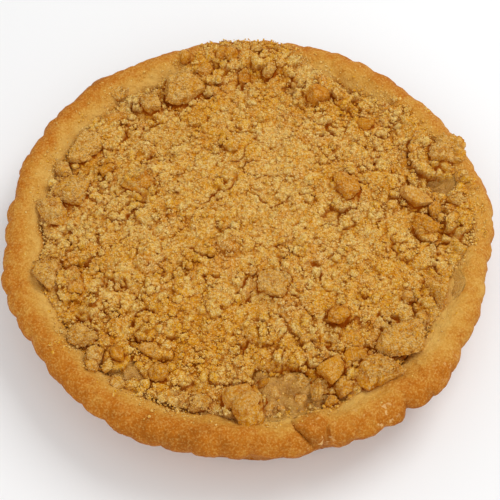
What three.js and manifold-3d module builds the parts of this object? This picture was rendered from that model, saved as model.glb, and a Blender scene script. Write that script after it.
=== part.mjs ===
// An apple crumble pie: a fluted shortcrust case baked thick at the rim, a stewed apple filling
// that shows where the topping is thin, and a heap of crumble with its large baked lumps on top.
// Millimetres, +Z up. The origin is the middle of the flat base, and -Y is the front of the pie.
import * as THREE from "three";
import { ImprovedNoise } from "three/addons/math/ImprovedNoise.js";
import { mergeVertices } from "three/addons/utils/BufferGeometryUtils.js";
import Module from "manifold-3d";

const wasm = await Module();
wasm.setup();

// The pastry case.
const RIM_RADIUS = 102; // outer edge of the rim, before its flutes and bulges
const BASE_RADIUS = 94;
const CROWN_HEIGHT = 30; // top of the rim
const SHOULDER_HEIGHT = 24; // where the outer wall is widest
const CROWN_INSET = 7.5; // from the outer edge in to the top of the rim
const RIM_WIDTH = 16; // from the outer edge in to the foot of the inner slope
const SLOPE_FOOT = 23.5; // height of that foot
const FLOOR_THICKNESS = 6.5;
const FLOOR_RADIUS = 82;

// The flutes that the tin pressed into the wall.
const FLUTES = 56;
const COLUMNS_PER_FLUTE = 3;
const FLUTE_DEPTH = 1.6;

// How far the flutes have slipped round the pie as the dough shrank and folded, as a share of a
// flute at azimuths in degrees.
const FLUTE_SLIP = [
  [-180, 0.48],
  [-120, 0.37],
  [-76, 0.28],
  [-68, -0.2],
  [-25, -0.23],
  [-5, 0.27],
  [30, 0.13],
  [60, -0.05],
  [90, -0.32],
  [120, -0.6],
  [150, -0.4],
  [180, -0.52],
];

// What lies in the case.
const FILLING_HEIGHT = 22.4;
const FILLING_RELIEF = 0.7;
const FILLING_RINGS = 9;
const HEAP_RINGS = 12;
const HEAP_MIDDLE = 31; // top of the crumble at the middle of the pie
const HEAP_EDGE = 25.6; // and beside the rim
const HEAP_RADIUS = 87;
const HEAP_RELIEF = 1.3;
const SPILL_HEIGHT = 31.2; // top of the crumble that lies over the rim
const GAP = 0.3; // clearance between neighbouring pieces

// Fused crumbs, from the largest to the smallest.
const CRUMBS = 112;
const CRUMB_LARGEST = 5; // radius
const CRUMB_SMALLEST = 2.2;
const SEED = 20;

const radians = THREE.MathUtils.degToRad;
const smoothstep = THREE.MathUtils.smoothstep;
const lerp = THREE.MathUtils.lerp;
const noise = new ImprovedNoise();
THREE.MathUtils.seededRandom(SEED);
const random = () => THREE.MathUtils.seededRandom();

// Where the rim was pressed out or in: azimuth and spread in degrees, rise in millimetres.
const BULGES = [
  { at: -175, spread: 5, rise: -1.2 },
  { at: -160, spread: 8, rise: 1.1 },
  { at: -144, spread: 6, rise: -0.8 },
  { at: -118, spread: 8, rise: 1.1 },
  { at: -91, spread: 7, rise: -1.4 },
  { at: -60, spread: 7, rise: 1.6 },
  { at: -46, spread: 7, rise: 2.3 },
  { at: -31, spread: 5, rise: -1.0 },
  { at: -15, spread: 7, rise: -2.3 },
  { at: 7, spread: 7, rise: 1.2 },
  { at: 43, spread: 5, rise: -0.9 },
  { at: 75, spread: 6, rise: 0.8 },
  { at: 117, spread: 9, rise: -1.4 },
  { at: 134, spread: 5, rise: 1.7 },
  { at: 148, spread: 5, rise: 1.2 },
  { at: 161, spread: 5, rise: 0.9 },
  { at: 174, spread: 5, rise: -1.2 },
];

// Nicks that cut right across the edge of the rim.
const NICKS = [
  { at: -72.6, spread: 1.6, rise: -2.6 },
  { at: -53.4, spread: 1.7, rise: -2.8 },
];

// A flap of dough folded over at the front of the rim. Its free edge runs from the inside of the
// rim out and towards the nick on its other side.
const FLAP = { inner: -80.5, outer: -75.5, end: -71.5, rise: 1.3 };

// Where the crumble lies over the rim.
const SPILLS = [
  { at: 92, spread: 19, rise: 12 },
  { at: 15, spread: 13, rise: 9.5 },
];

// Where no crumble covers the apple.
const BARE_PATCHES = [
  { x: 16, y: -77, length: 34, width: 15, turn: 6 },
  { x: 83, y: -31, length: 9, width: 22, turn: 22 },
  { x: 80, y: 18, length: 10, width: 12, turn: -20 },
  { x: -48, y: -67, length: 16, width: 10, turn: -35 },
];

// The large lumps of crumble: middle, length, width and height, and their turn in degrees.
const LUMPS = [
  { x: -30, y: 71, z: 28.5, length: 19, width: 16, height: 11, turn: 20 },
  { x: -61, y: 51, z: 27.2, length: 11, width: 9.5, height: 8, turn: 30 },
  { x: -44, y: 62.5, z: 27.7, length: 11.5, width: 9.5, height: 8, turn: -40 },
  { x: -70.5, y: 38, z: 27, length: 17.5, width: 12.5, height: 9, turn: 70 },
  { x: -74, y: 14, z: 27.5, length: 14.5, width: 13, height: 9, turn: 15 },
  { x: -82, y: 3.5, z: 28, length: 15, width: 10.5, height: 8.5, turn: -38 },
  { x: -46.5, y: 17, z: 30.2, length: 12, width: 11, height: 7.5, turn: 50 },
  { x: 31, y: 67.5, z: 28, length: 12, width: 10.5, height: 9.5, turn: 80 },
  { x: 41, y: 16, z: 30.7, length: 12.5, width: 10.5, height: 7.5, turn: -30 },
  { x: 70.5, y: 11.5, z: 29.3, length: 14, width: 6.5, height: 6, turn: -12 },
  { x: 73.5, y: -1.5, z: 28.7, length: 12.5, width: 9, height: 7.5, turn: -20 },
  { x: 85, y: 36, z: 31.2, length: 15, width: 12.5, height: 7.5, turn: 25 },
  { x: -81, y: -27, z: 27.8, length: 17.5, width: 12.5, height: 9.5, turn: -75 },
  { x: -70, y: -29.5, z: 26.6, length: 15, width: 8, height: 8, turn: -68 },
  { x: -65, y: -53, z: 27.4, length: 11.5, width: 10, height: 8, turn: 25 },
  { x: -58.5, y: -63.5, z: 27.8, length: 11, width: 9, height: 8, turn: -70 },
  { x: -1, y: -82, z: 29, length: 17.5, width: 14.5, height: 12, turn: 75 },
  { x: 59.5, y: -54, z: 28.4, length: 20, width: 15, height: 9.5, turn: 10 },
  { x: 49.5, y: -67.5, z: 28.2, length: 17.5, width: 12.5, height: 10, turn: 22 },
  { x: 32, y: -67, z: 28.2, length: 11, width: 9, height: 7.5, turn: 60 },
  { x: 75, y: -33, z: 28, length: 14.5, width: 8.5, height: 8.5, turn: 82 },
  { x: 11, y: -32.5, z: 30.8, length: 13.5, width: 12.5, height: 7.5, turn: 0 },
];

// Degrees from one azimuth to another, the short way round.
function turnBetween(from, to) {
  return ((((to - from) % 360) + 540) % 360) - 180;
}

// The sum of bumps along the rim at an azimuth in degrees.
function bumps(list, azimuth) {
  return list.reduce((sum, { at, spread, rise }) => {
    return sum + rise * Math.exp(-((turnBetween(at, azimuth) / spread) ** 2));
  }, 0);
}

// The slip of the flutes at an azimuth, between the two listed on either side of it.
function fluteSlip(azimuth) {
  const place = turnBetween(0, azimuth);
  const next = FLUTE_SLIP.findIndex(([at]) => at > place);
  const [[from, start], [to, end]] = [FLUTE_SLIP[next - 1], FLUTE_SLIP[next]];
  return lerp(start, end, (place - from) / (to - from));
}

// The tin's flutes weren't all filled alike.
const fluteDepths = Array.from({ length: FLUTES }, () => FLUTE_DEPTH * lerp(0.45, 1.2, random()));

// How far a flute stands out at an azimuth: round lobes with narrow grooves between them.
function fluteRelief(azimuth) {
  const turns = (FLUTES * (turnBetween(0, azimuth) + 180)) / 360 + fluteSlip(azimuth);
  const depth = fluteDepths[(Math.floor(turns + 0.5) + FLUTES) % FLUTES];
  return depth * (Math.abs(Math.cos(Math.PI * turns)) ** 0.7 - 0.6);
}

// The crown rises and falls a little round the rim, and steps up at the flap of dough.
function crownWave(azimuth, radius) {
  const wave = 0.5 * Math.sin(radians(3 * azimuth + 40)) + 0.45 * Math.sin(radians(7 * azimuth));
  const edge = lerp(FLAP.inner, FLAP.outer, smoothstep(radius, RIM_RADIUS - RIM_WIDTH, RIM_RADIUS));
  const past = turnBetween(edge, azimuth);
  const left = turnBetween(azimuth, FLAP.end);
  return wave + FLAP.rise * smoothstep(past, 0, 2) * smoothstep(left, 0, 2);
}

// Rings of the case's section, from the underside round the rim to the inner floor. flute is how
// much of the flutes a ring takes, rim how much of the bulges, and crown of the crown's wave.
const OUTER_RINGS = [
  { r: BASE_RADIUS - 1.5, z: 0, flute: 0.3, rim: 0.2, crown: 0 },
  { r: BASE_RADIUS, z: 1.6, flute: 0.9, rim: 0.3, crown: 0 },
  { r: RIM_RADIUS, z: SHOULDER_HEIGHT, flute: 1, rim: 1, crown: 0 },
  { r: RIM_RADIUS - 0.7, z: SHOULDER_HEIGHT + 3, flute: 0.8, rim: 1, crown: 0.4 },
  { r: RIM_RADIUS - 3.2, z: CROWN_HEIGHT - 0.7, flute: 0.3, rim: 1, crown: 1 },
];
const INNER_RINGS = [
  { r: RIM_RADIUS - CROWN_INSET, z: CROWN_HEIGHT, flute: 0, rim: 0.8, crown: 1 },
  { r: RIM_RADIUS - 0.7 * RIM_WIDTH, z: CROWN_HEIGHT - 1.8, flute: 0, rim: 0.5, crown: 1 },
  { r: RIM_RADIUS - RIM_WIDTH, z: SLOPE_FOOT, flute: 0, rim: 0.2, crown: 0.2 },
  { r: FLOOR_RADIUS, z: FLOOR_THICKNESS, flute: 0, rim: 0, crown: 0 },
];

// A closed indexed geometry from a list of points and a list of triangles.
function closedGeometry(points, triangles) {
  const geometry = new THREE.BufferGeometry();
  geometry.setAttribute("position", new THREE.Float32BufferAttribute(points.flat(), 3));
  geometry.setIndex(triangles.flat());
  return geometry;
}

// The pastry case. The fluted rings have twice the columns of the smooth ones inside the crown.
function caseGeometry() {
  const columns = FLUTES * COLUMNS_PER_FLUTE;
  const points = [];
  const triangles = [];
  const addRing = (ring, count) => {
    const first = points.length;
    for (let i = 0; i < count; i++) {
      const azimuth = (360 * i) / count;
      const edge = bumps(BULGES, azimuth) + bumps(NICKS, azimuth);
      const radius = ring.r + ring.flute * fluteRelief(azimuth) + ring.rim * edge;
      const height = ring.z + ring.crown * crownWave(azimuth, ring.r);
      const angle = radians(azimuth);
      points.push([radius * Math.cos(angle), radius * Math.sin(angle), height]);
    }
    return first;
  };
  const bridge = (below, above, count) => {
    for (let i = 0; i < count; i++) {
      const next = (i + 1) % count;
      triangles.push([below + i, below + next, above + i]);
      triangles.push([below + next, above + next, above + i]);
    }
  };
  const fan = (first, count, height, facingUp) => {
    const middle = points.push([0, 0, height]) - 1;
    for (let i = 0; i < count; i++) {
      const next = (i + 1) % count;
      triangles.push(facingUp ? [middle, first + i, first + next] : [middle, first + next, first + i]);
    }
  };
  const outer = OUTER_RINGS.map((ring) => addRing(ring, columns));
  const inner = INNER_RINGS.map((ring) => addRing(ring, columns / 2));
  fan(outer[0], columns, 0, false);
  outer.slice(1).forEach((first, k) => bridge(outer[k], first, columns));
  // The step from the fluted rings to the smooth ones: three triangles to each pair of columns.
  const last = outer.at(-1);
  for (let i = 0; i < columns / 2; i++) {
    const [a, b, c] = [last + 2 * i, last + 2 * i + 1, last + ((2 * i + 2) % columns)];
    const [p, q] = [inner[0] + i, inner[0] + ((i + 1) % (columns / 2))];
    triangles.push([a, b, p], [b, q, p], [b, c, q]);
  }
  inner.slice(1).forEach((first, k) => bridge(inner[k], first, columns / 2));
  fan(inner.at(-1), columns / 2, FLOOR_THICKNESS, true);
  return closedGeometry(points, triangles);
}

// A round body with a flat underside whose top follows height(x, y). Ring k of the top has 6k
// points, so that its triangles are all about as large. reach(azimuth) is its radius at the top,
// and its side runs in by taper towards the underside.
function moundGeometry({ rings, reach, height, underside, taper }) {
  const points = [[0, 0, height(0, 0)]];
  const triangles = [];
  const start = (k) => (k === 0 ? 0 : 1 + 3 * k * (k - 1));
  const at = (k, i) => (k === 0 ? 0 : start(k) + (i % (6 * k)));
  for (let k = 1; k <= rings; k++) {
    for (let i = 0; i < 6 * k; i++) {
      const azimuth = (360 * i) / (6 * k);
      const radius = (reach(azimuth) * k) / rings;
      const [x, y] = [radius * Math.cos(radians(azimuth)), radius * Math.sin(radians(azimuth))];
      points.push([x, y, height(x, y)]);
    }
    for (let sector = 0; sector < 6; sector++) {
      for (let i = 0; i < k; i++) {
        const [far, near] = [sector * k + i, sector * (k - 1) + i];
        triangles.push([at(k, far), at(k, far + 1), at(k - 1, near)]);
        if (i < k - 1) triangles.push([at(k - 1, near), at(k, far + 1), at(k - 1, near + 1)]);
      }
    }
  }
  const edge = 6 * rings;
  const foot = points.length;
  for (let i = 0; i < edge; i++) {
    const [x, y] = points[at(rings, i)];
    const scale = 1 - taper / Math.hypot(x, y);
    points.push([scale * x, scale * y, underside]);
  }
  const middle = points.push([0, 0, underside]) - 1;
  for (let i = 0; i < edge; i++) {
    const next = (i + 1) % edge;
    triangles.push([foot + i, foot + next, at(rings, i)], [foot + next, at(rings, next), at(rings, i)]);
    triangles.push([middle, foot + next, foot + i]);
  }
  return closedGeometry(points, triangles);
}

// Where a point lies in an ellipse, from 0 at its middle to 1 on its edge and more outside.
function shareOfPatch({ x, y, length, width, turn }, px, py) {
  const [dx, dy] = [px - x, py - y];
  const [c, s] = [Math.cos(radians(turn)), Math.sin(radians(turn))];
  return Math.hypot((dx * c + dy * s) / (length / 2), (dy * c - dx * s) / (width / 2));
}

// Soft uneven relief, from -1 to 1, with hollows and humps about as wide as scale.
function relief(x, y, scale, layer) {
  return 1.6 * noise.noise(x / scale, y / scale, layer);
}

function fillingHeight(x, y) {
  return FILLING_HEIGHT + FILLING_RELIEF * relief(x, y, 9, 3.3);
}

// The top of the crumble: a low dome that lifts over the rim at the spills and sinks below the
// filling where the apple is bare.
function heapHeight(x, y) {
  const radius = Math.hypot(x, y);
  const azimuth = THREE.MathUtils.radToDeg(Math.atan2(y, x));
  const dome = lerp(HEAP_MIDDLE, HEAP_EDGE, smoothstep(radius, 0.35 * HEAP_RADIUS, HEAP_RADIUS));
  const spill = Math.min(1, bumps(SPILLS, azimuth) / 8) * smoothstep(radius, 76, 90);
  const bare = Math.max(...BARE_PATCHES.map((patch) => 1 - smoothstep(shareOfPatch(patch, x, y), 0.75, 1.2)));
  const rough = relief(x, y, 15, 7.1) + 0.6 * relief(x, y, 6, 1.7);
  return lerp(dome, SPILL_HEIGHT, spill) + HEAP_RELIEF * rough - 6 * bare;
}

function heapReach(azimuth) {
  return HEAP_RADIUS + Math.min(bumps(SPILLS, azimuth), 13) + 1.2 * Math.sin(radians(11 * azimuth));
}

// A knobbly lump with each half-size given, turned about its upright axis and then tipped.
function lumpGeometry(halfSizes, detail, roughness, turn, tip) {
  const geometry = new THREE.IcosahedronGeometry(1, detail);
  geometry.deleteAttribute("normal");
  geometry.deleteAttribute("uv");
  const merged = mergeVertices(geometry, 1e-4);
  const position = merged.attributes.position;
  const offset = 50 * random();
  const point = new THREE.Vector3();
  for (let i = 0; i < position.count; i++) {
    point.fromBufferAttribute(position, i);
    const bump = noise.noise(1.3 * point.x + offset, 1.3 * point.y, 1.3 * point.z);
    point.multiplyScalar(1 + roughness * bump).multiply(halfSizes);
    position.setXYZ(i, point.x, point.y, point.z);
  }
  return merged.rotateX(radians(tip)).rotateZ(radians(turn));
}

// A closed geometry as a solid that can be joined and cut.
function solidOf(geometry) {
  const vertProperties = new Float32Array(geometry.attributes.position.array);
  const triVerts = new Uint32Array(geometry.index.array);
  return new wasm.Manifold(new wasm.Mesh({ numProp: 3, vertProperties, triVerts }));
}

// The same geometry with its surface moved out by the clearance, to cut its neighbours with.
function swollen(geometry) {
  const copy = geometry.clone();
  copy.computeVertexNormals();
  const { position, normal } = copy.attributes;
  const point = new THREE.Vector3();
  const out = new THREE.Vector3();
  for (let i = 0; i < position.count; i++) {
    out.fromBufferAttribute(normal, i);
    point.fromBufferAttribute(position, i).addScaledVector(out, 1.15 * GAP);
    position.setXYZ(i, point.x, point.y, point.z);
  }
  return solidOf(copy);
}

// The largest body of a solid: what a cut left loose is dropped.
function largestBody(solid) {
  return solid.decompose().reduce((best, body) => (body.volume() > best.volume() ? body : best));
}

function geometryOf(solid) {
  const { vertProperties, triVerts, numProp } = solid.getMesh();
  const position = new THREE.BufferAttribute(new Float32Array(vertProperties), numProp);
  return new THREE.BufferGeometry().setAttribute("position", position).setIndex([...triVerts]);
}

// Crumbs scattered over the heap, the largest first, clear of the large lumps, of each other's
// middles and of the bare apple.
function scatterCrumbs(keepClear) {
  const placed = [];
  for (let tries = 0; placed.length < CRUMBS && tries < 80 * CRUMBS; tries++) {
    const size = lerp(CRUMB_LARGEST, CRUMB_SMALLEST, placed.length / CRUMBS);
    const azimuth = 360 * random();
    const radius = (heapReach(azimuth) - size) * Math.sqrt(random());
    const [x, y] = [radius * Math.cos(radians(azimuth)), radius * Math.sin(radians(azimuth))];
    const onApple = BARE_PATCHES.some((patch) => shareOfPatch(patch, x, y) < 1.15);
    const crowded = placed.some((other) => Math.hypot(other.x - x, other.y - y) < other.size + size);
    if (onApple || crowded) continue;
    const halfSizes = new THREE.Vector3(size * lerp(0.9, 1.25, random()), size, size * lerp(0.6, 0.85, random()));
    const crumb = lumpGeometry(halfSizes, 0, 0.5, 360 * random(), 40 * random());
    const solid = solidOf(crumb.translate(x, y, heapHeight(x, y) + 0.15 * size));
    if (solid.intersect(keepClear).isEmpty()) placed.push({ x, y, size, solid });
  }
  return placed.map(({ solid }) => solid);
}

function mesh(name, geometry, color, roughness) {
  const made = new THREE.Mesh(geometry, new THREE.MeshStandardMaterial({ color, roughness, metalness: 0 }));
  made.name = name;
  return made;
}

const pastry = caseGeometry();
const swollenCase = swollen(pastry);

const fillingReach = (azimuth) => {
  const wall = lerp(FLOOR_RADIUS, RIM_RADIUS - RIM_WIDTH, 0.9) + 0.1 * bumps(BULGES, azimuth);
  return wall - 1.5 * GAP;
};
const filling = moundGeometry({
  rings: FILLING_RINGS,
  reach: fillingReach,
  height: fillingHeight,
  underside: FLOOR_THICKNESS + GAP,
  taper: fillingReach(0) - FLOOR_RADIUS + 2 * GAP,
});
// Widened to close the slit beside the case, so that the crumble doesn't run down into it.
const swollenFilling = swollen(filling.clone().scale(1.012, 1.012, 1));

const core = moundGeometry({
  rings: HEAP_RINGS,
  reach: heapReach,
  height: heapHeight,
  underside: FILLING_HEIGHT - 1,
  taper: 0,
});

// Each large lump is cut to rest on the case, the filling, the crumble and the lumps before it.
const lumps = [];
const swollenLumps = [];
let bed = swollenCase.add(swollenFilling).add(swollen(core));
for (const { x, y, z, length, width, height, turn } of LUMPS) {
  const halfSizes = new THREE.Vector3(length / 2, width / 2, height / 2);
  const shape = lumpGeometry(halfSizes, 1, 0.35, turn, 16 * (random() - 0.5)).translate(x, y, z);
  lumps.push(geometryOf(largestBody(solidOf(shape).subtract(bed))));
  swollenLumps.push(swollen(shape));
  bed = bed.add(swollenLumps.at(-1));
}

const coreSolid = solidOf(core).subtract(swollenCase).subtract(swollenFilling);
const crumbs = scatterCrumbs(wasm.Manifold.union(swollenLumps));
const topping = largestBody(wasm.Manifold.union([coreSolid, ...crumbs]).subtract(swollenCase));

const pie = new THREE.Group();
pie.name = "apple_crumble_pie";
pie.add(mesh("pastry_case", pastry, 0xc98a42, 0.75));
pie.add(mesh("apple_filling", filling, 0xad7c3c, 0.35));
pie.add(mesh("crumble_topping", geometryOf(topping), 0xcb9852, 0.9));
lumps.forEach((lump, i) => {
  pie.add(mesh(`crumble_lump_${String(i + 1).padStart(2, "0")}`, lump, 0xc08b45, 0.85));
});

export default pie;
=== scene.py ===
"""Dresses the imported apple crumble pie: a fluted case, stewed apple and a rough sandy crumble."""

from __future__ import annotations

import logging
import math
from dataclasses import dataclass, field
from enum import Enum
from typing import Iterable, NamedTuple

import bmesh
import bpy
import numpy as np
from mathutils import Euler, Matrix, Vector


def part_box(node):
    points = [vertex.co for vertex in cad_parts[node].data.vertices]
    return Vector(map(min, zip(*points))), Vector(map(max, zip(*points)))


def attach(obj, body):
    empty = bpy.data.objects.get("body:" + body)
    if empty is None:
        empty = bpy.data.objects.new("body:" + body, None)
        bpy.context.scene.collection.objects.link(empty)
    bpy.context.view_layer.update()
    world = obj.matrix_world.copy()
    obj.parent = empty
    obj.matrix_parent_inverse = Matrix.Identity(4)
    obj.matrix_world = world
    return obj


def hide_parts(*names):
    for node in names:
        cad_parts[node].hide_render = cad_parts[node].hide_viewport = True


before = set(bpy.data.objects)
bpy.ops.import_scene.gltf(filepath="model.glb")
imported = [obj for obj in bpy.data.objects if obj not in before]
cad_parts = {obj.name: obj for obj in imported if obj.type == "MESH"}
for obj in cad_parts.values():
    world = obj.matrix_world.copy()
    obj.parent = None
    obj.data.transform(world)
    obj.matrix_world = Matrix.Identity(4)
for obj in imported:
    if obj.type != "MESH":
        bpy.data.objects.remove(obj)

LOG = logging.getLogger("pie")
MM = 0.001  # metres in a millimetre; shapes are worked out in millimetres
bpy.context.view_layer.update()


# ---------------------------------------------------------------- numbers and noise


def smoothstep(value: np.ndarray, low: float, high: float) -> np.ndarray:
    """Eases from 0 at low to 1 at high."""
    share = np.clip((value - low) / (high - low), 0.0, 1.0)
    return share * share * (3.0 - 2.0 * share)


def lerp(start: np.ndarray, end: np.ndarray, share: np.ndarray) -> np.ndarray:
    """Goes in a straight line from start to end as share goes from 0 to 1."""
    return start + (end - start) * share


def turn_between(start: np.ndarray, end: np.ndarray) -> np.ndarray:
    """Degrees from one azimuth to another, the short way round."""
    return (end - start + 180.0) % 360.0 - 180.0


def polar(x: np.ndarray, y: np.ndarray) -> tuple[np.ndarray, np.ndarray]:
    """The radius and the azimuth in degrees of points seen from above."""
    return np.hypot(x, y), np.degrees(np.arctan2(y, x))


def in_plan(x: np.ndarray, y: np.ndarray) -> np.ndarray:
    """Points seen from above as points at height 0, (n, 3)."""
    return np.stack([x, y, np.zeros_like(x)], axis=1)


class ValueNoise:
    """Smooth seeded noise, from a lattice of random numbers that repeats every PERIOD cells.

    A number added to the points that it is asked about picks another stretch of it.
    """

    PERIOD = 64
    OFFSET = 17.3
    ROUGH_GAIN = 1.6

    def __init__(self, seed: int) -> None:
        """Fills the lattice.

        Args:
            seed: The seed of its random numbers.
        """
        rng = np.random.default_rng(seed)
        self.lattice = rng.uniform(-1.0, 1.0, (self.PERIOD,) * 3).astype(np.float32)

    def at(self, points: np.ndarray, scale: float) -> np.ndarray:
        """Noise from -1 to 1 at each point.

        Args:
            points: An array of points, (n, 3), in millimetres.
            scale: The width of a lattice cell in millimetres.

        Returns:
            One value for each point.
        """
        cell = points / scale + self.OFFSET
        base = np.floor(cell).astype(int)
        share = cell - base
        share = share * share * (3.0 - 2.0 * share)
        total = np.zeros(len(points))
        for corner in np.ndindex(2, 2, 2):
            weight = np.prod(np.where(corner, share, 1.0 - share), axis=1)
            index = (base + corner) % self.PERIOD
            total += weight * self.lattice[index[:, 0], index[:, 1], index[:, 2]]
        return total

    def rough(self, points: np.ndarray, scale: float, octaves: int) -> np.ndarray:
        """Noise with finer and weaker octaves added, from about -1 to 1."""
        total = sum(self.at(points, scale / 2**k) / 2**k for k in range(octaves))
        return total / (2.0 - 0.5 ** (octaves - 1)) * self.ROUGH_GAIN


class GrainNoise:
    """Round grains packed side by side: one scattered middle in each cell of a lattice."""

    PERIOD = 64
    USUAL = 0.75  # its usual height

    def __init__(self, seed: int) -> None:
        """Scatters the middles.

        Args:
            seed: The seed of their places.
        """
        rng = np.random.default_rng(seed)
        self.middles = rng.uniform(0.0, 1.0, (self.PERIOD,) * 3 + (3,)).astype(np.float32)

    def at(self, points: np.ndarray, scale: float) -> np.ndarray:
        """How high each point stands on its grain: 1 at its middle, about 0.5 between grains.

        Args:
            points: An array of points, (n, 2) or (n, 3), in millimetres.
            scale: The grains' usual width in millimetres.

        Returns:
            One value for each point.
        """
        cell = points / scale
        size = points.shape[1]
        base = np.floor(cell).astype(int)
        nearest = np.full(len(points), np.inf)
        for corner in np.ndindex((3,) * size):
            neighbour = base + np.array(corner) - 1
            index = neighbour % self.PERIOD
            layer = index[:, 2] if size == 3 else 0
            middle = neighbour + self.middles[index[:, 0], index[:, 1], layer, :size]
            nearest = np.minimum(nearest, ((cell - middle) ** 2).sum(axis=1))
        return np.clip(1.0 - nearest, 0.0, 1.0)


SOFT_NOISE = ValueNoise(3)
GRAIN_NOISE = GrainNoise(5)


# ---------------------------------------------------------------- the pie's shape in plan


@dataclass(frozen=True)
class Swell:
    """A place on the rim that stands out or in: its azimuth, spread in degrees, and rise."""

    at: float
    spread: float
    rise: float


def swelling(swells: tuple[Swell, ...], azimuth: np.ndarray) -> np.ndarray:
    """The sum of the swells at each azimuth in degrees, in millimetres.

    Args:
        swells: What to add up.
        azimuth: Degrees round the pie.

    Returns:
        Millimetres, one value for each azimuth.
    """
    total = np.zeros_like(azimuth)
    for swell in swells:
        total += swell.rise * np.exp(-((turn_between(swell.at, azimuth) / swell.spread) ** 2))
    return total


@dataclass(frozen=True)
class Patch:
    """An oval patch seen from above, in millimetres and degrees."""

    x: float
    y: float
    length: float
    width: float
    turn: float
    strength: float = 1.0

    def share(self, x: np.ndarray, y: np.ndarray) -> np.ndarray:
        """Where points lie: 0 at the patch's middle, 1 on its edge and more outside.

        Args:
            x: Places across the pie in millimetres.
            y: Places along the pie in millimetres.

        Returns:
            One value for each point.
        """
        cos, sin = math.cos(math.radians(self.turn)), math.sin(math.radians(self.turn))
        along = ((x - self.x) * cos + (y - self.y) * sin) / (self.length / 2)
        across = ((y - self.y) * cos - (x - self.x) * sin) / (self.width / 2)
        return np.hypot(along, across)


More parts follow.
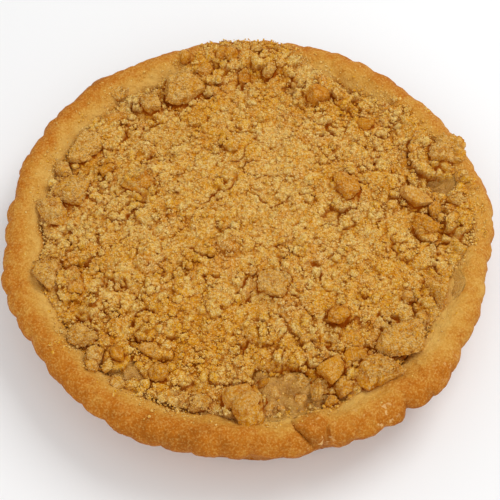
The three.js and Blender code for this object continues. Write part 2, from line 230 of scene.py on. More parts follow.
@dataclass(frozen=True)
class PieShape:
    """The sizes that the case, the apple and the crumble share, in millimetres and degrees."""

    rim_radius: float = 102.0
    base_radius: float = 94.0
    crown_height: float = 30.0
    shoulder_height: float = 24.0
    crown_inset: float = 7.5
    rim_width: float = 16.0
    slope_foot: float = 23.5
    floor_thickness: float = 6.5
    floor_radius: float = 82.0
    flutes: int = 56
    flute_depth: float = 1.6
    flute_shares: tuple[float, float] = (0.45, 1.2)
    flute_seed: int = 8
    filling_height: float = 22.6
    filling_welling: float = 1.3  # how much higher the apple stands where it shows
    chunk_width: float = 4.0
    chunk_rise: float = 1.5
    heap_middle: float = 29.2
    heap_edge: float = 24.3
    heap_radius: float = 87.0
    spill_height: float = 30.4
    bare_depth: float = 1.2  # how far the crumble dips under the apple where that shows
    crack_width: float = 0.09
    crack_spacing: float = 8.0
    fine_middle: tuple[float, float] = (10.0, 5.0)
    fine_radius: float = 52.0
    edge_waves: tuple[tuple[float, int], ...] = ((1.2, 11), (0.9, 23))
    bulges: tuple[Swell, ...] = (
        Swell(-175, 5, -1.2),
        Swell(-160, 8, 1.1),
        Swell(-144, 6, -0.8),
        Swell(-118, 8, 1.1),
        Swell(-91, 7, -1.4),
        Swell(-60, 7, 1.6),
        Swell(-46, 7, 2.3),
        Swell(-31, 5, -1.0),
        Swell(-15, 7, -2.3),
        Swell(7, 7, 1.2),
        Swell(43, 5, -0.9),
        Swell(75, 6, 0.8),
        Swell(117, 9, -1.4),
        Swell(134, 5, 1.7),
        Swell(148, 5, 1.2),
        Swell(161, 5, 0.9),
        Swell(174, 5, -1.2),
    )
    nicks: tuple[Swell, ...] = (Swell(-72.6, 1.5, -2.8), Swell(-53.4, 1.6, -2.8))
    spills: tuple[Swell, ...] = (
        Swell(92, 19, 12.0),
        Swell(11, 14, 11.5),
        Swell(-6, 6, 3.5),
        Swell(38, 11, 7.0),
    )
    slip_azimuths: tuple[float, ...] = (
        -180, -120, -76, -68, -25, -5, 30, 60, 90, 120, 150, 180,
    )  # fmt: skip
    slips: tuple[float, ...] = (
        0.48, 0.37, 0.28, -0.2, -0.23, 0.27, 0.13, -0.05, -0.32, -0.6, -0.4, -0.52,
    )  # fmt: skip
    flap_levels: tuple[float, ...] = (86.4, 90.0, 94.0, 98.0, 103.0)
    flap_left: tuple[float, ...] = (-77.0, -79.3, -79.0, -77.2, -75.0)
    flap_right: tuple[float, ...] = (-70.4, -69.6, -70.9, -71.9, -72.5)
    flap_rise: float = 2.1
    flap_foot: float = 86.0
    crown_waves: tuple[tuple[float, int, float], ...] = ((0.5, 3, 40.0), (0.45, 7, 0.0))
    brownings: tuple[Swell, ...] = (
        Swell(-112, 24, 0.2),
        Swell(-49, 6, 0.22),
        Swell(-34, 8, -0.12),
        Swell(-5, 26, -0.18),
        Swell(-168, 16, 0.04),
        Swell(137, 9, 0.14),
        Swell(160, 14, 0.05),
        Swell(178, 25, -0.06),
    )
    # where painted highlights fleck the crown
    highlight_spots: tuple[Swell, ...] = (Swell(-74, 3, 0.9), Swell(-60, 4, 0.8), Swell(-40, 4, 0.4))
    edge_crumbs: tuple[Swell, ...] = (
        Swell(-167, 3, 4.0),
        Swell(-142, 3, 8.0),
        Swell(-118, 14, 2.5),
        Swell(-85, 5, 3.5),
        Swell(-48, 5, 4.0),
        Swell(-3, 7, 7.0),
        Swell(12, 13, 13.0),
        Swell(35, 12, 8.0),
        Swell(78, 5, 5.0),
        Swell(133, 3, 9.0),
        Swell(160, 5, 3.0),
    )
    smears: tuple[Swell, ...] = (Swell(-20, 5.5, 5.5), Swell(-82, 6, 2.4), Swell(14, 5, 4.0))
    bare_patches: tuple[Patch, ...] = (
        Patch(15, -75.5, 36, 18, 3),
        Patch(84, -31, 11, 22, -24),
        Patch(82, 20, 12, 13, -20),
        Patch(-46, -67, 15, 9, -35, 0.9),
        Patch(36, 4, 15, 9, 20, 0.45),
        Patch(-66, -50, 7, 14, -30, 0.5),
        Patch(19, 74, 12, 7, 0, 0.5),
    )
    golden_patches: tuple[Patch, ...] = (
        Patch(-12, -52, 62, 34, 0, 0.22),
        Patch(-10, 8, 60, 22, 0, 0.12),
        Patch(58, -30, 44, 30, 0, 0.18),
    )

    def flute_relief(self, azimuth: np.ndarray) -> np.ndarray:
        """How far the flutes stand out: round lobes of uneven depth with narrow grooves.

        Args:
            azimuth: Degrees round the pie.

        Returns:
            Millimetres, one value for each azimuth.
        """
        place = turn_between(0.0, azimuth)
        slip = np.interp(place, self.slip_azimuths, self.slips)
        turns = self.flutes * (place + 180.0) / 360.0 + slip
        shares = np.random.default_rng(self.flute_seed).uniform(*self.flute_shares, self.flutes)
        depths = shares * self.flute_depth
        depth = depths[np.floor(turns + 0.5).astype(int) % self.flutes]
        return depth * (np.abs(np.cos(np.pi * turns)) ** 0.7 - 0.6)

    def beside_flap(self, azimuth: np.ndarray, radius: np.ndarray) -> tuple[np.ndarray, np.ndarray]:
        """Degrees from the flap's left side to each point, and from the point to its right side.

        Args:
            azimuth: Degrees round the pie.
            radius: Distances from the pie's middle in millimetres.

        Returns:
            Both angles, one value for each point.
        """
        left = np.interp(radius, self.flap_levels, self.flap_left)
        right = np.interp(radius, self.flap_levels, self.flap_right)
        return turn_between(left, azimuth), turn_between(azimuth, right)

    def flap(self, azimuth: np.ndarray, radius: np.ndarray) -> np.ndarray:
        """How much of the flap's rise a point of the rim has, from 0 to 1.

        Args:
            azimuth: Degrees round the pie.
            radius: Distances from the pie's middle in millimetres.

        Returns:
            One value for each point.
        """
        left, right = self.beside_flap(azimuth, radius)
        middle = (self.flap_left[0] + self.flap_right[0]) / 2
        bow = 2.0 * (np.clip(turn_between(middle, azimuth), -6.0, 6.0) / 4.0) ** 2
        soft = lerp(2.6, 0.9, smoothstep(radius, 95.0, 99.0))
        sides = smoothstep(left, -0.1, 1.1) * smoothstep(right, 0.0, soft)
        return sides * smoothstep(radius - (self.flap_foot + bow), 0.0, 1.6)

    def crease(self, azimuth: np.ndarray, radius: np.ndarray) -> np.ndarray:
        """The fold's crack on both sides of the flap, 1 at its bottom and 0 beside it.

        Args:
            azimuth: Degrees round the pie.
            radius: Distances from the pie's middle in millimetres.

        Returns:
            One value for each point.
        """
        left, right = self.beside_flap(azimuth, radius)
        inner, tip = smoothstep(radius, 86.5, 90.5), smoothstep(radius, 95.0, 99.5)
        return inner * np.exp(-((left / 0.3) ** 2)) + tip * np.exp(-((right / 0.32) ** 2))

    def crown_wave(self, azimuth: np.ndarray, radius: np.ndarray) -> np.ndarray:
        """How the crown rises and falls round the rim, with the flap of dough on it.

        Args:
            azimuth: Degrees round the pie.
            radius: Distances from the pie's middle in millimetres.

        Returns:
            Millimetres, one value for each point.
        """
        angle = np.radians(azimuth)
        wave = sum(
            rise * np.sin(count * angle + math.radians(shift)) for rise, count, shift in self.crown_waves
        )
        return wave + self.flap_rise * self.flap(azimuth, radius)

    def filling_top(self, x: np.ndarray, y: np.ndarray) -> np.ndarray:
        """Height of the apple filling: soft chunks in a thick sauce, pulpy all over.

        Args:
            x: Places across the pie in millimetres.
            y: Places along the pie in millimetres.

        Returns:
            Heights in millimetres.
        """
        flat = in_plan(x, y)
        bent = flat[:, :2] + 1.4 * SOFT_NOISE.at(flat + 12.0, 3.0)[:, None]
        chunks = 0.6 * SOFT_NOISE.at(flat + 33.0, 7.0) + 1.6 * GRAIN_NOISE.at(bent, self.chunk_width) - 1.2
        chunks += 0.4 * SOFT_NOISE.rough(flat + 40.0, 2.0, 2)
        shown = self.filling_welling * smoothstep(self.bareness(x, y), 0.2, 0.8)
        return self.filling_height + shown + self.chunk_rise * chunks

    def bareness(self, x: np.ndarray, y: np.ndarray) -> np.ndarray:
        """How bare of crumble each point seen from above is, from 0 to 1.

        Args:
            x: Places across the pie in millimetres.
            y: Places along the pie in millimetres.

        Returns:
            One value for each point.
        """
        flat = in_plan(x, y)
        ragged = 0.4 * SOFT_NOISE.at(flat + 61.0, 5.0) + 0.2 * SOFT_NOISE.at(flat + 19.0, 2.2)
        shares = [
            patch.strength * (1.0 - smoothstep(patch.share(x, y) + ragged, 0.55, 1.25))
            for patch in self.bare_patches
        ]
        return np.max(shares, axis=0)

    def gold(self, x: np.ndarray, y: np.ndarray) -> np.ndarray:
        """How much more golden than elsewhere the crumble is at each point."""
        shares = [p.strength * (1.0 - smoothstep(p.share(x, y), 0.4, 1.4)) for p in self.golden_patches]
        return np.sum(shares, axis=0)

    def cracking(self, x: np.ndarray, y: np.ndarray) -> np.ndarray:
        """How far down in one of the crumble's few thin cracks each point is, from 0 to 1.

        Args:
            x: Places across the pie in millimetres.
            y: Places along the pie in millimetres.

        Returns:
            One value for each point.
        """
        flat = in_plan(x, y)
        line = SOFT_NOISE.at(flat + 140.0, self.crack_spacing) + 0.3 * SOFT_NOISE.at(flat + 7.0, 2.5)
        broken = smoothstep(SOFT_NOISE.at(flat + 77.0, 7.0), 0.0, 0.35)
        return np.exp(-((line / self.crack_width) ** 2)) * broken

    def heap_top(self, x: np.ndarray, y: np.ndarray) -> np.ndarray:
        """Height of the crumble before its crumbs: a low dome, over the rim at the spills.

        Args:
            x: Places across the pie in millimetres.
            y: Places along the pie in millimetres.

        Returns:
            Heights in millimetres.
        """
        radius, azimuth = polar(x, y)
        flat = in_plan(x, y)
        eased = smoothstep(radius, 0.35 * self.heap_radius, self.heap_radius)
        dome = lerp(self.heap_middle, self.heap_edge, eased)
        spill = np.minimum(1.0, swelling(self.spills, azimuth) / 8.0) * smoothstep(radius, 76, 90)
        rough = SOFT_NOISE.at(flat, 13.0) + 0.6 * SOFT_NOISE.at(flat + 90.0, 6.0)
        top = lerp(dome, self.spill_height, spill) + rough
        low = np.minimum(top, self.filling_height - self.bare_depth)
        return lerp(top, low, self.bareness(x, y))

    def coarseness(self, x: np.ndarray, y: np.ndarray) -> np.ndarray:
        """From 0 where the crumble is fine sand to 1 where it is coarse crumbs.

        Args:
            x: Places across the pie in millimetres.
            y: Places along the pie in millimetres.

        Returns:
            One value for each point.
        """
        flat = in_plan(x, y)
        middle_x, middle_y = self.fine_middle
        out = (np.hypot(x - middle_x, y - middle_y) - self.fine_radius) / 40.0
        share = smoothstep(out + 0.9 * SOFT_NOISE.at(flat + 200.0, 12.0), -0.9, 0.6)
        return 0.15 + 0.7 * share

    def heap_reach(self, azimuth: np.ndarray) -> np.ndarray:
        """How far out the crumble lies at each azimuth."""
        wobble = sum(rise * np.sin(np.radians(count * azimuth)) for rise, count in self.edge_waves)
        return self.heap_radius + np.minimum(swelling(self.spills, azimuth), 13.0) + wobble


SHAPE = PieShape()


# ---------------------------------------------------------------- meshes


def finish_piece(name: str, mesh: bpy.types.Mesh, nodes: list[str]) -> bpy.types.Object:
    """Links a finished mesh as a piece of the pie.

    Args:
        name: The piece's name.
        mesh: Its mesh, in metres and in place.
        nodes: The CAD nodes that it stands for.

    Returns:
        The piece's object.
    """
    piece = bpy.data.objects.new(name, mesh)
    bpy.context.scene.collection.objects.link(piece)
    mesh.shade_smooth()
    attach(piece, "root")
    if nodes:
        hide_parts(*nodes)
    LOG.info("%s: %d faces", name, len(mesh.polygons))
    return piece


def mesh_from_bmesh(name: str, shape: bmesh.types.BMesh) -> bpy.types.Mesh:
    """Turns a bmesh into a mesh with outward faces, and frees it.

    Args:
        name: The mesh's name.
        shape: The bmesh, freed afterwards.

    Returns:
        The mesh.
    """
    bmesh.ops.recalc_face_normals(shape, faces=shape.faces)
    mesh = bpy.data.meshes.new(name)
    shape.to_mesh(mesh)
    shape.free()
    return mesh


def read_points(mesh: bpy.types.Mesh) -> np.ndarray:
    """The mesh's vertices, (n, 3), in the units that they are stored in.

    Args:
        mesh: The mesh to read.

    Returns:
        One row for each vertex.
    """
    points = np.empty(len(mesh.vertices) * 3)
    mesh.vertices.foreach_get("co", points)
    return points.reshape(-1, 3)


def write_points(mesh: bpy.types.Mesh, points: np.ndarray) -> None:
    """Moves the mesh's vertices."""
    mesh.vertices.foreach_set("co", points.ravel())
    mesh.update()


def read_normals(mesh: bpy.types.Mesh) -> np.ndarray:
    """The mesh's vertex normals, (n, 3).

    Args:
        mesh: The mesh to read.

    Returns:
        One row for each vertex.
    """
    normals = np.empty(len(mesh.vertices) * 3)
    mesh.vertex_normals.foreach_get("vector", normals)
    return normals.reshape(-1, 3)


def paint(mesh: bpy.types.Mesh, name: str, values: np.ndarray) -> None:
    """Stores a number for each vertex, which a finish reads by name."""
    layer = mesh.attributes.new(name, "FLOAT", "POINT")
    layer.data.foreach_set("value", np.clip(values, 0.0, 1.0).astype(np.float32))


def unit_ball(subdivisions: int) -> tuple[np.ndarray, np.ndarray]:
    """A ball of triangles.

    Args:
        subdivisions: 0 for 8 faces, 1 for 20, and from there four times as many with each step.

    Returns:
        Its vertices, (n, 3), and its faces, (m, 3).
    """
    shape = bmesh.new()
    if subdivisions == 0:
        bmesh.ops.create_uvsphere(shape, u_segments=4, v_segments=2, radius=1.0)
    else:
        bmesh.ops.create_icosphere(shape, subdivisions=subdivisions, radius=1.0)
    shape.verts.index_update()
    points = np.array([vert.co[:] for vert in shape.verts])
    faces = np.array([[vert.index for vert in face.verts] for face in shape.faces])
    shape.free()
    return points, faces


def joined_mesh(name: str, bodies: np.ndarray, faces: np.ndarray) -> bpy.types.Mesh:
    """One mesh of many bodies with the same faces.

    Args:
        name: The mesh's name.
        bodies: The vertices of each body, (bodies, n, 3), in millimetres.
        faces: The triangles of one body, (m, 3).

    Returns:
        The joined mesh, in metres.
    """
    count, size = bodies.shape[:2]
    corners = (faces[None] + size * np.arange(count)[:, None, None]).reshape(-1)
    mesh = bpy.data.meshes.new(name)
    mesh.vertices.add(count * size)
    mesh.vertices.foreach_set("co", (bodies * MM).ravel())
    mesh.loops.add(len(corners))
    mesh.loops.foreach_set("vertex_index", corners)
    mesh.polygons.add(len(corners) // 3)
    mesh.polygons.foreach_set("loop_start", np.arange(0, len(corners), 3))
    mesh.update(calc_edges=True)
    mesh.validate()
    return mesh


# ---------------------------------------------------------------- finishes


@dataclass(frozen=True)
class Value:
    """A socket of a shader's node tree, for use in Python expressions."""

    tree: "ShaderTree"
    socket: bpy.types.NodeSocket

    def _with(self, operation: str, first: "Value | float", second: "Value | float") -> "Value":
        """A Math node on two values."""
        return self.tree.node("ShaderNodeMath", {"operation": operation}, {0: first, 1: second})

    def __add__(self, other: "Value | float") -> "Value":
        """The sum."""
        return self._with("ADD", self, other)

    __radd__ = __add__

    def __sub__(self, other: "Value | float") -> "Value":
        """The difference."""
        return self._with("SUBTRACT", self, other)

    def __rsub__(self, other: "Value | float") -> "Value":
        """The difference, the other way round."""
        return self._with("SUBTRACT", other, self)

    def __mul__(self, other: "Value | float") -> "Value":
        """The product."""
        return self._with("MULTIPLY", self, other)

    __rmul__ = __mul__

    def sibling(self, output: str) -> "Value":
        """Another output of the same node."""
        return Value(self.tree, self.socket.node.outputs[output])

    def step(self, low: float, high: float) -> "Value":
        """Eases from 0 at low to 1 at high."""
        settings = {"interpolation_type": "SMOOTHSTEP"}
        return self.tree.node("ShaderNodeMapRange", settings, {0: self, 1: low, 2: high})


class ShaderTree:
    """A new material whose nodes are added by expressions."""

    def __init__(self, name: str) -> None:
        """Makes the material.

        Args:
            name: The material's name.
        """
        self.material = bpy.data.materials.new(name)
        self.material.use_nodes = True
        self.nodes = self.material.node_tree.nodes
        self.links = self.material.node_tree.links

    def node(self, kind: str, settings: dict, inputs: dict, output: int | str = 0) -> Value:
        """Adds a node.

        Args:
            kind: The node's type.
            settings: Its properties, which are set first; stops are those of its ramp.
            inputs: Values or numbers for its sockets, by name or place.
            output: The socket to return, by name or place.

        Returns:
            That output.
        """
        made = self.nodes.new(kind)
        for key, setting in settings.items():
            if key == "stops":
                self._set_stops(made.color_ramp, setting)
            else:
                setattr(made, key, setting)
        for key, value in inputs.items():
            self.plug(made.inputs[key], value)
        return Value(self, made.outputs[output])

    def _set_stops(self, ramp: bpy.types.ColorRamp, stops: list[tuple[float, tuple]]) -> None:
        """Gives a ramp its stops, each a place and a colour.

        Args:
            ramp: The ramp, new and plain.
            stops: A place and a colour for each stop.
        """
        while len(ramp.elements) < len(stops):
            ramp.elements.new(1.0)
        for element, (place, color) in zip(ramp.elements, stops):
            element.position = place
            element.color = color

    def plug(self, socket: bpy.types.NodeSocket, value: Value | float | tuple) -> None:
        """Links a value to a socket, or sets the number or colour on it.

        Args:
            socket: The input to fill.
            value: What it gets.
        """
        if isinstance(value, Value):
            self.links.new(value.socket, socket)
        else:
            socket.default_value = value

    def place(self) -> Value:
        """The point's place in the pie's own frame, in metres."""
        return self.node("ShaderNodeTexCoord", {}, {}, "Object")

    def painted(self, name: str) -> Value:
        """A number that the mesh stores for each vertex."""
        return self.node("ShaderNodeAttribute", {"attribute_name": name}, {}, "Fac")

    def noise(self, width: float, detail: float, roughness: float = 0.5) -> Value:
        """Soft noise from about 0.3 to 0.7, with features about as wide as width millimetres."""
        inputs = {"Vector": self.place(), "Scale": 1.0 / (width * MM), "Detail": detail}
        return self.node("ShaderNodeTexNoise", {}, {**inputs, "Roughness": roughness}, "Fac")

    def mix(self, share: Value | float, first: Value | tuple, second: Value | tuple) -> Value:
        """A colour between two colours."""
        settings = {"data_type": "RGBA", "blend_type": "MIX"}
        return self.node("ShaderNodeMix", settings, {0: share, 6: first, 7: second}, 2)

    def bump(self, height: Value, depth: float, normal: Value | None = None) -> Value:
        """Relief from a height between 0 and 1.

        Args:
            height: The height.
            depth: How far 1 stands above 0, in millimetres.
            normal: Relief that this is laid over.

        Returns:
            The bent normal.
        """
        inputs = {"Height": height, "Distance": depth * MM, "Strength": 1.0}
        if normal:
            inputs["Normal"] = normal
        return self.node("ShaderNodeBump", {}, inputs)

    def set_surface(
        self, color: Value | tuple, normal: Value | None, roughness: float, specular: float
    ) -> bpy.types.Material:
        """Gives the material its colour, its relief and how it shines, and returns it.

        Args:
            color: Its colour.
            normal: Its relief, or None where it has none.
            roughness: How dull it is, from 0 to 1.
            specular: How much it shines, from 0 to 1.

        Returns:
            The material.
        """
        inputs = self.nodes["Principled BSDF"].inputs
        self.plug(inputs["Base Color"], color)
        if normal:
            self.plug(inputs["Normal"], normal)
        inputs["Roughness"].default_value = roughness
        inputs["Specular IOR Level"].default_value = specular
        return self.material


def srgb(red: int, green: int, blue: int) -> tuple[float, float, float, float]:
    """A colour given as a screen shows it, for a shader's socket.

    Args:
        red: Red from 0 to 255.
        green: Green from 0 to 255.
        blue: Blue from 0 to 255.

    Returns:
        The linear colour, opaque.
    """
    shown = np.array((red, green, blue)) / 255
    light = np.where(shown < 0.04, shown / 12.92, ((shown + 0.055) / 1.055) ** 2.4)
    return (*light.tolist(), 1.0)


@dataclass(frozen=True)
class PastryFinish:
    """Baked shortcrust: pale in its folds, toasted on its crown, finely flecked and matte, with a few
    painted highlights on its crown.

    Widths and depths are in millimetres.
    """

    pale: tuple = srgb(214, 168, 84)
    golden: tuple = srgb(199, 140, 52)
    toasted: tuple = srgb(183, 106, 18)
    brown: tuple = srgb(150, 82, 6)
    fleck: tuple = srgb(222, 174, 94)
    freckle: tuple = srgb(164, 88, 16)
    # the colour of the painted highlights
    shine: tuple = srgb(236, 196, 132)
    blotch_width: float = 5.0
    spot_width: float = 1.7
    sand_width: float = 0.8
    highlight_width: float = 2.2
    wave_width: float = 3.4
    wave_depth: float = 1.2
    grit_width: float = 0.9
    grit_depth: float = 0.35
    roughness: float = 0.6
    specular: float = 0.08

    def build(self) -> bpy.types.Material:
        """Makes the material, which reads the painted toast and where the painted highlights lie."""
        tree = ShaderTree("pastry")
        toast = tree.painted("toast") + 0.95 * (tree.noise(self.blotch_width, 6.0, 0.68) - 0.5)
        stops = [(0.0, self.pale), (0.35, self.golden), (0.68, self.toasted), (1.0, self.brown)]
        color = tree.node("ShaderNodeValToRGB", {"stops": stops}, {0: toast})
        sand, spots = tree.noise(self.sand_width, 2.0, 0.6), tree.noise(self.spot_width, 2.0, 0.6)
        color = tree.mix(spots.step(0.5, 0.66) * (0.3 - 0.2 * toast), color, self.fleck)
        color = tree.mix(sand.step(0.5, 0.66) * (0.5 - 0.2 * toast), color, self.fleck)
        freckles = (1.0 - sand).step(0.52, 0.68) * (0.05 + 0.75 * toast)
        color = tree.mix(freckles, color, self.freckle)
        # painted highlight: pale shiny flecks on the crown
        painted_highlight = tree.painted("painted_highlight") * tree.noise(self.highlight_width, 1.0).step(0.63, 0.68)
        color = tree.mix(painted_highlight, color, self.shine)
        grit = tree.bump(tree.noise(self.grit_width, 3.0, 0.7), self.grit_depth)
        normal = tree.bump(tree.noise(self.wave_width, 3.0, 0.6), self.wave_depth, grit)
        return tree.set_surface(color, normal, self.roughness, self.specular)


@dataclass(frozen=True)
class FillingFinish:
    """Stewed apple in its sauce: brownish beige, moist and soft, with widths in millimetres."""

    light: tuple = srgb(192, 140, 59)
    dark: tuple = srgb(168, 113, 36)
    pale: tuple = srgb(211, 168, 97)
    fibre_width: float = 1.8
    lump_width: float = 2.2
    lump_depth: float = 1.2
    mush_width: float = 1.1
    mush_depth: float = 0.4
    roughness: float = 0.26
    specular: float = 0.3

    def build(self) -> bpy.types.Material:
        """Makes the material, which reads how far the painted chunks stand out."""
        tree = ShaderTree("apple_filling")
        share = 0.7 * tree.painted("chunk") + 1.3 * (tree.noise(self.fibre_width, 5.0, 0.65) - 0.5)
        color = tree.mix(share.step(0.0, 0.75), self.dark, self.light)
        mush = tree.noise(self.mush_width, 3.0, 0.6)
        color = tree.mix(mush.step(0.52, 0.68) * 0.5, color, self.pale)
        lumps = tree.noise(self.lump_width, 3.0, 0.6)
        normal = tree.bump(lumps, self.lump_depth, tree.bump(mush, self.mush_depth))
        return tree.set_surface(color, normal, self.roughness, self.specular)


@dataclass(frozen=True)
class CrumbFinish:
    """Baked butter crumble: sandy, golden and toasted in spots, with painted shade in its cracks and
    hollows.

    Widths and depths are in millimetres. relief is the share of the specks' and glints' depths that it
    has, and of the painted shade in the holes between grains.
    """

    name: str
    bump_depth: float
    relief: float = 1.0
    grain_width: float = 0.95
    mottle_width: float = 1.5
    speck_width: float = 1.0
    speck_depth: float = 0.5
    glint_width: float = 0.6
    glint_depth: float = 0.35
    dusted: tuple = srgb(232, 203, 138)
    sandy: tuple = srgb(221, 183, 97)
    golden: tuple = srgb(213, 151, 28)
    toasted: tuple = srgb(197, 118, 26)
    # the next two colours are painted shade: a saturated orange for the hollows, and dark brown for
    # cracks, pits and holes
    hollow_shade: tuple = srgb(209, 133, 10)
    crack_shade: tuple = srgb(149, 69, 2)
    roughness: float = 0.75
    specular: float = 0.03

    def build(self) -> bpy.types.Material:
        """Makes the material, which reads the painted tone and toast, and the painted hollow shade (depth)
        and pit shade.
        """
        tree = ShaderTree(self.name)
        inputs = {"Vector": tree.place(), "Scale": 1.0 / (self.grain_width * MM)}
        distance = tree.node("ShaderNodeTexVoronoi", {"feature": "F1"}, inputs, "Distance")
        chance = tree.node("ShaderNodeSeparateColor", {}, {0: distance.sibling("Color")})
        mottle = tree.noise(self.mottle_width, 3.0, 0.65)
        tone = tree.painted("tone") + 1.1 * (mottle - 0.5) + 0.5 * (chance - 0.5)
        color = tree.mix(tone.step(0.0, 1.0), self.sandy, self.golden)
        color = tree.mix(tree.painted("toast") * (mottle + 0.3), color, self.toasted)
        specks = tree.noise(self.speck_width, 2.0, 0.6)
        color = tree.mix(specks.step(0.53, 0.63) * (0.7 - 0.4 * tone), color, self.dusted)
        # painted shade: the painted depth brings in the hollows' saturated shade colour
        depth = tree.painted("depth")
        color = tree.mix(depth * 0.72, color, self.hollow_shade)
        glints = tree.noise(self.glint_width, 1.0)
        # the pale dust fades where hollow shade is painted
        dust = glints.step(0.54, 0.62) * (1.0 - 0.5 * tone) * (1.0 - 0.6 * depth)
        color = tree.mix(dust, color, self.dusted)
        # painted shade: dark specks in the holes between grains, then pit shade in cracks and crevices
        hole_shade = (1.0 - specks).step(0.56, 0.66) * (0.3 * self.relief)
        color = tree.mix(hole_shade, color, self.crack_shade)
        color = tree.mix(tree.painted("pit_shade"), color, self.crack_shade)
        finest = tree.bump(glints, self.glint_depth * self.relief)
        fine = tree.bump(specks, self.speck_depth * self.relief, finest)
        normal = tree.bump(1.0 - distance, self.bump_depth, fine)
        return tree.set_surface(color, normal, self.roughness, self.specular)


# ---------------------------------------------------------------- the pie's pieces


class Oval(NamedTuple):
    """An oval grain: its middle, its half-sizes in millimetres and its turn in radians."""

    x: float
    y: float
    z: float
    long: float
    wide: float
    tall: float
    turn: float = 0.0


class Ground:
    """Heights of what is in the pie so far, on a square raster, for crumbs to lie on."""

    STEP = 0.25
    HALF = 104.0
    CRUMB_HEIGHT = 1.8
    LUMP_SQUARE = 0.6
    LUMP_MARGIN = 0.3

    def __init__(self) -> None:
        """Fills the raster with the crumble's dome."""
        self.side = np.arange(-self.HALF, self.HALF + self.STEP, self.STEP)
        self.x, self.y = (grid.ravel() for grid in np.meshgrid(self.side, self.side, indexing="ij"))
        self.shape = (len(self.side),) * 2
        self.heights = SHAPE.heap_top(self.x, self.y).reshape(self.shape)
        self.tones = np.full(self.shape, 0.5)
        self.toasts = np.zeros(self.shape)
        self.near = self.wide = self.heights
        self.bare = self.heights
        # the second raster says how much lump lies near each point, for the painted shade round the lumps
        self.on_lump, self.lump_shade = np.zeros(self.shape), np.zeros(self.shape)
        self.sanding = np.zeros(self.shape)
        self.cracks = SHAPE.cracking(self.x, self.y).reshape(self.shape)

    def press(self, oval: Oval, tone: float, toast: float) -> None:
        """Raises the ground to an oval grain's upper side where the grain is higher.

        Args:
            oval: The grain.
            tone: Its tone, from sandy to golden.
            toast: How toasted it is.
        """
        reach = max(oval.long, oval.wide)
        low_i, high_i = np.searchsorted(self.side, (oval.x - reach, oval.x + reach))
        low_j, high_j = np.searchsorted(self.side, (oval.y - reach, oval.y + reach))
        dx = self.side[low_i:high_i, None] - oval.x
        dy = self.side[None, low_j:high_j] - oval.y
        cos, sin = math.cos(oval.turn), math.sin(oval.turn)
        along, across = (dx * cos + dy * sin) / oval.long, (dy * cos - dx * sin) / oval.wide
        room = 1.0 - along**2 - across**2
        top = np.where(room > 0.0, oval.z + oval.tall * np.sqrt(np.maximum(room, 0.0)), -1.0)
        window = self.heights[low_i:high_i, low_j:high_j]
        higher = top > window
        self.tones[low_i:high_i, low_j:high_j][higher] = tone
        self.toasts[low_i:high_i, low_j:high_j][higher] = toast
        window[higher] = top[higher]

    def press_lump(self, points: np.ndarray, sanding: float) -> None:
        """Raises the ground to a lump and marks where it lies.

        Args:
            points: The lump's vertices in millimetres, closer together than LUMP_SQUARE. Each
                square of that width takes its highest vertex's height.
            sanding: How many loose grains stick to it, from 0 to 1.
        """
        width = self.LUMP_SQUARE
        cells = np.floor((points[:, :2] + self.HALF) / width).astype(int)
        squares = np.zeros((int(2 * self.HALF / width) + 1,) * 2)
        np.maximum.at(squares, (cells[:, 0], cells[:, 1]), points[:, 2])
        pick = np.minimum((self.side + self.HALF) / width, len(squares) - 1).astype(int)
        lump = squares[pick][:, pick]
        over = lump > self.heights + self.LUMP_MARGIN
        self.on_lump[over] = 1.0
        self.sanding[over] = sanding
        self.lay_over(lump)

    def cell(self, x: float, y: float) -> tuple[int, int]:
        """The raster's nearest point."""
        return round((x + self.HALF) / self.STEP), round((y + self.HALF) / self.STEP)

    def lay_over(self, other: np.ndarray) -> None:
        """Raises the ground to another surface on the same raster."""
        np.maximum(self.heights, other.reshape(self.shape), out=self.heights)

    def settle(self, near: float = 2.4, wide: float = 7.0) -> None:
        """Works out the levels that cracks and hollows are told by, for their painted shade, and how much
        lump lies near each point, for the painted shade round the lumps.

        Args:
            near: The width that the near level is averaged over, in millimetres.
            wide: The width of the wide level.
        """
        low = np.minimum(self.heights, self.bare + self.CRUMB_HEIGHT)
        self.near, self.wide = self.averaged(low, near), self.averaged(low, wide)
        self.lump_shade = self.averaged(self.on_lump, near)

    def averaged(self, raster: np.ndarray, width: float) -> np.ndarray:
        """A raster averaged over squares of this width in millimetres, twice.

        Args:
            raster: The values to average.
            width: The squares' width.

        Returns:
            A raster of the same size.
        """
        size = max(1, round(width / self.STEP / 2))
        result = raster
        for axis in (0, 1, 0, 1):
            padding = [(0, 0), (0, 0)]
            padding[axis] = (size + 1, size)
            total = np.cumsum(np.pad(result, padding, mode="edge"), axis=axis)
            high = np.take(total, range(2 * size + 1, total.shape[axis]), axis=axis)
            low = np.take(total, range(0, total.shape[axis] - 2 * size - 1), axis=axis)
            result = (high - low) / (2 * size + 1)
        return result

    def sample(self, raster: np.ndarray, x: np.ndarray, y: np.ndarray) -> np.ndarray:
        """Reads a raster between its points.

        Args:
            raster: The values to read.
            x: Places across the pie in millimetres.
            y: Places along the pie in millimetres.

        Returns:
            One value for each point.
        """
        u = np.clip((x + self.HALF) / self.STEP, 0, len(raster) - 2)
        v = np.clip((y + self.HALF) / self.STEP, 0, len(raster) - 2)
        i, j = u.astype(int), v.astype(int)
        low = lerp(raster[i, j], raster[i, j + 1], v - j)
        high = lerp(raster[i + 1, j], raster[i + 1, j + 1], v - j)
        return lerp(low, high, u - i)


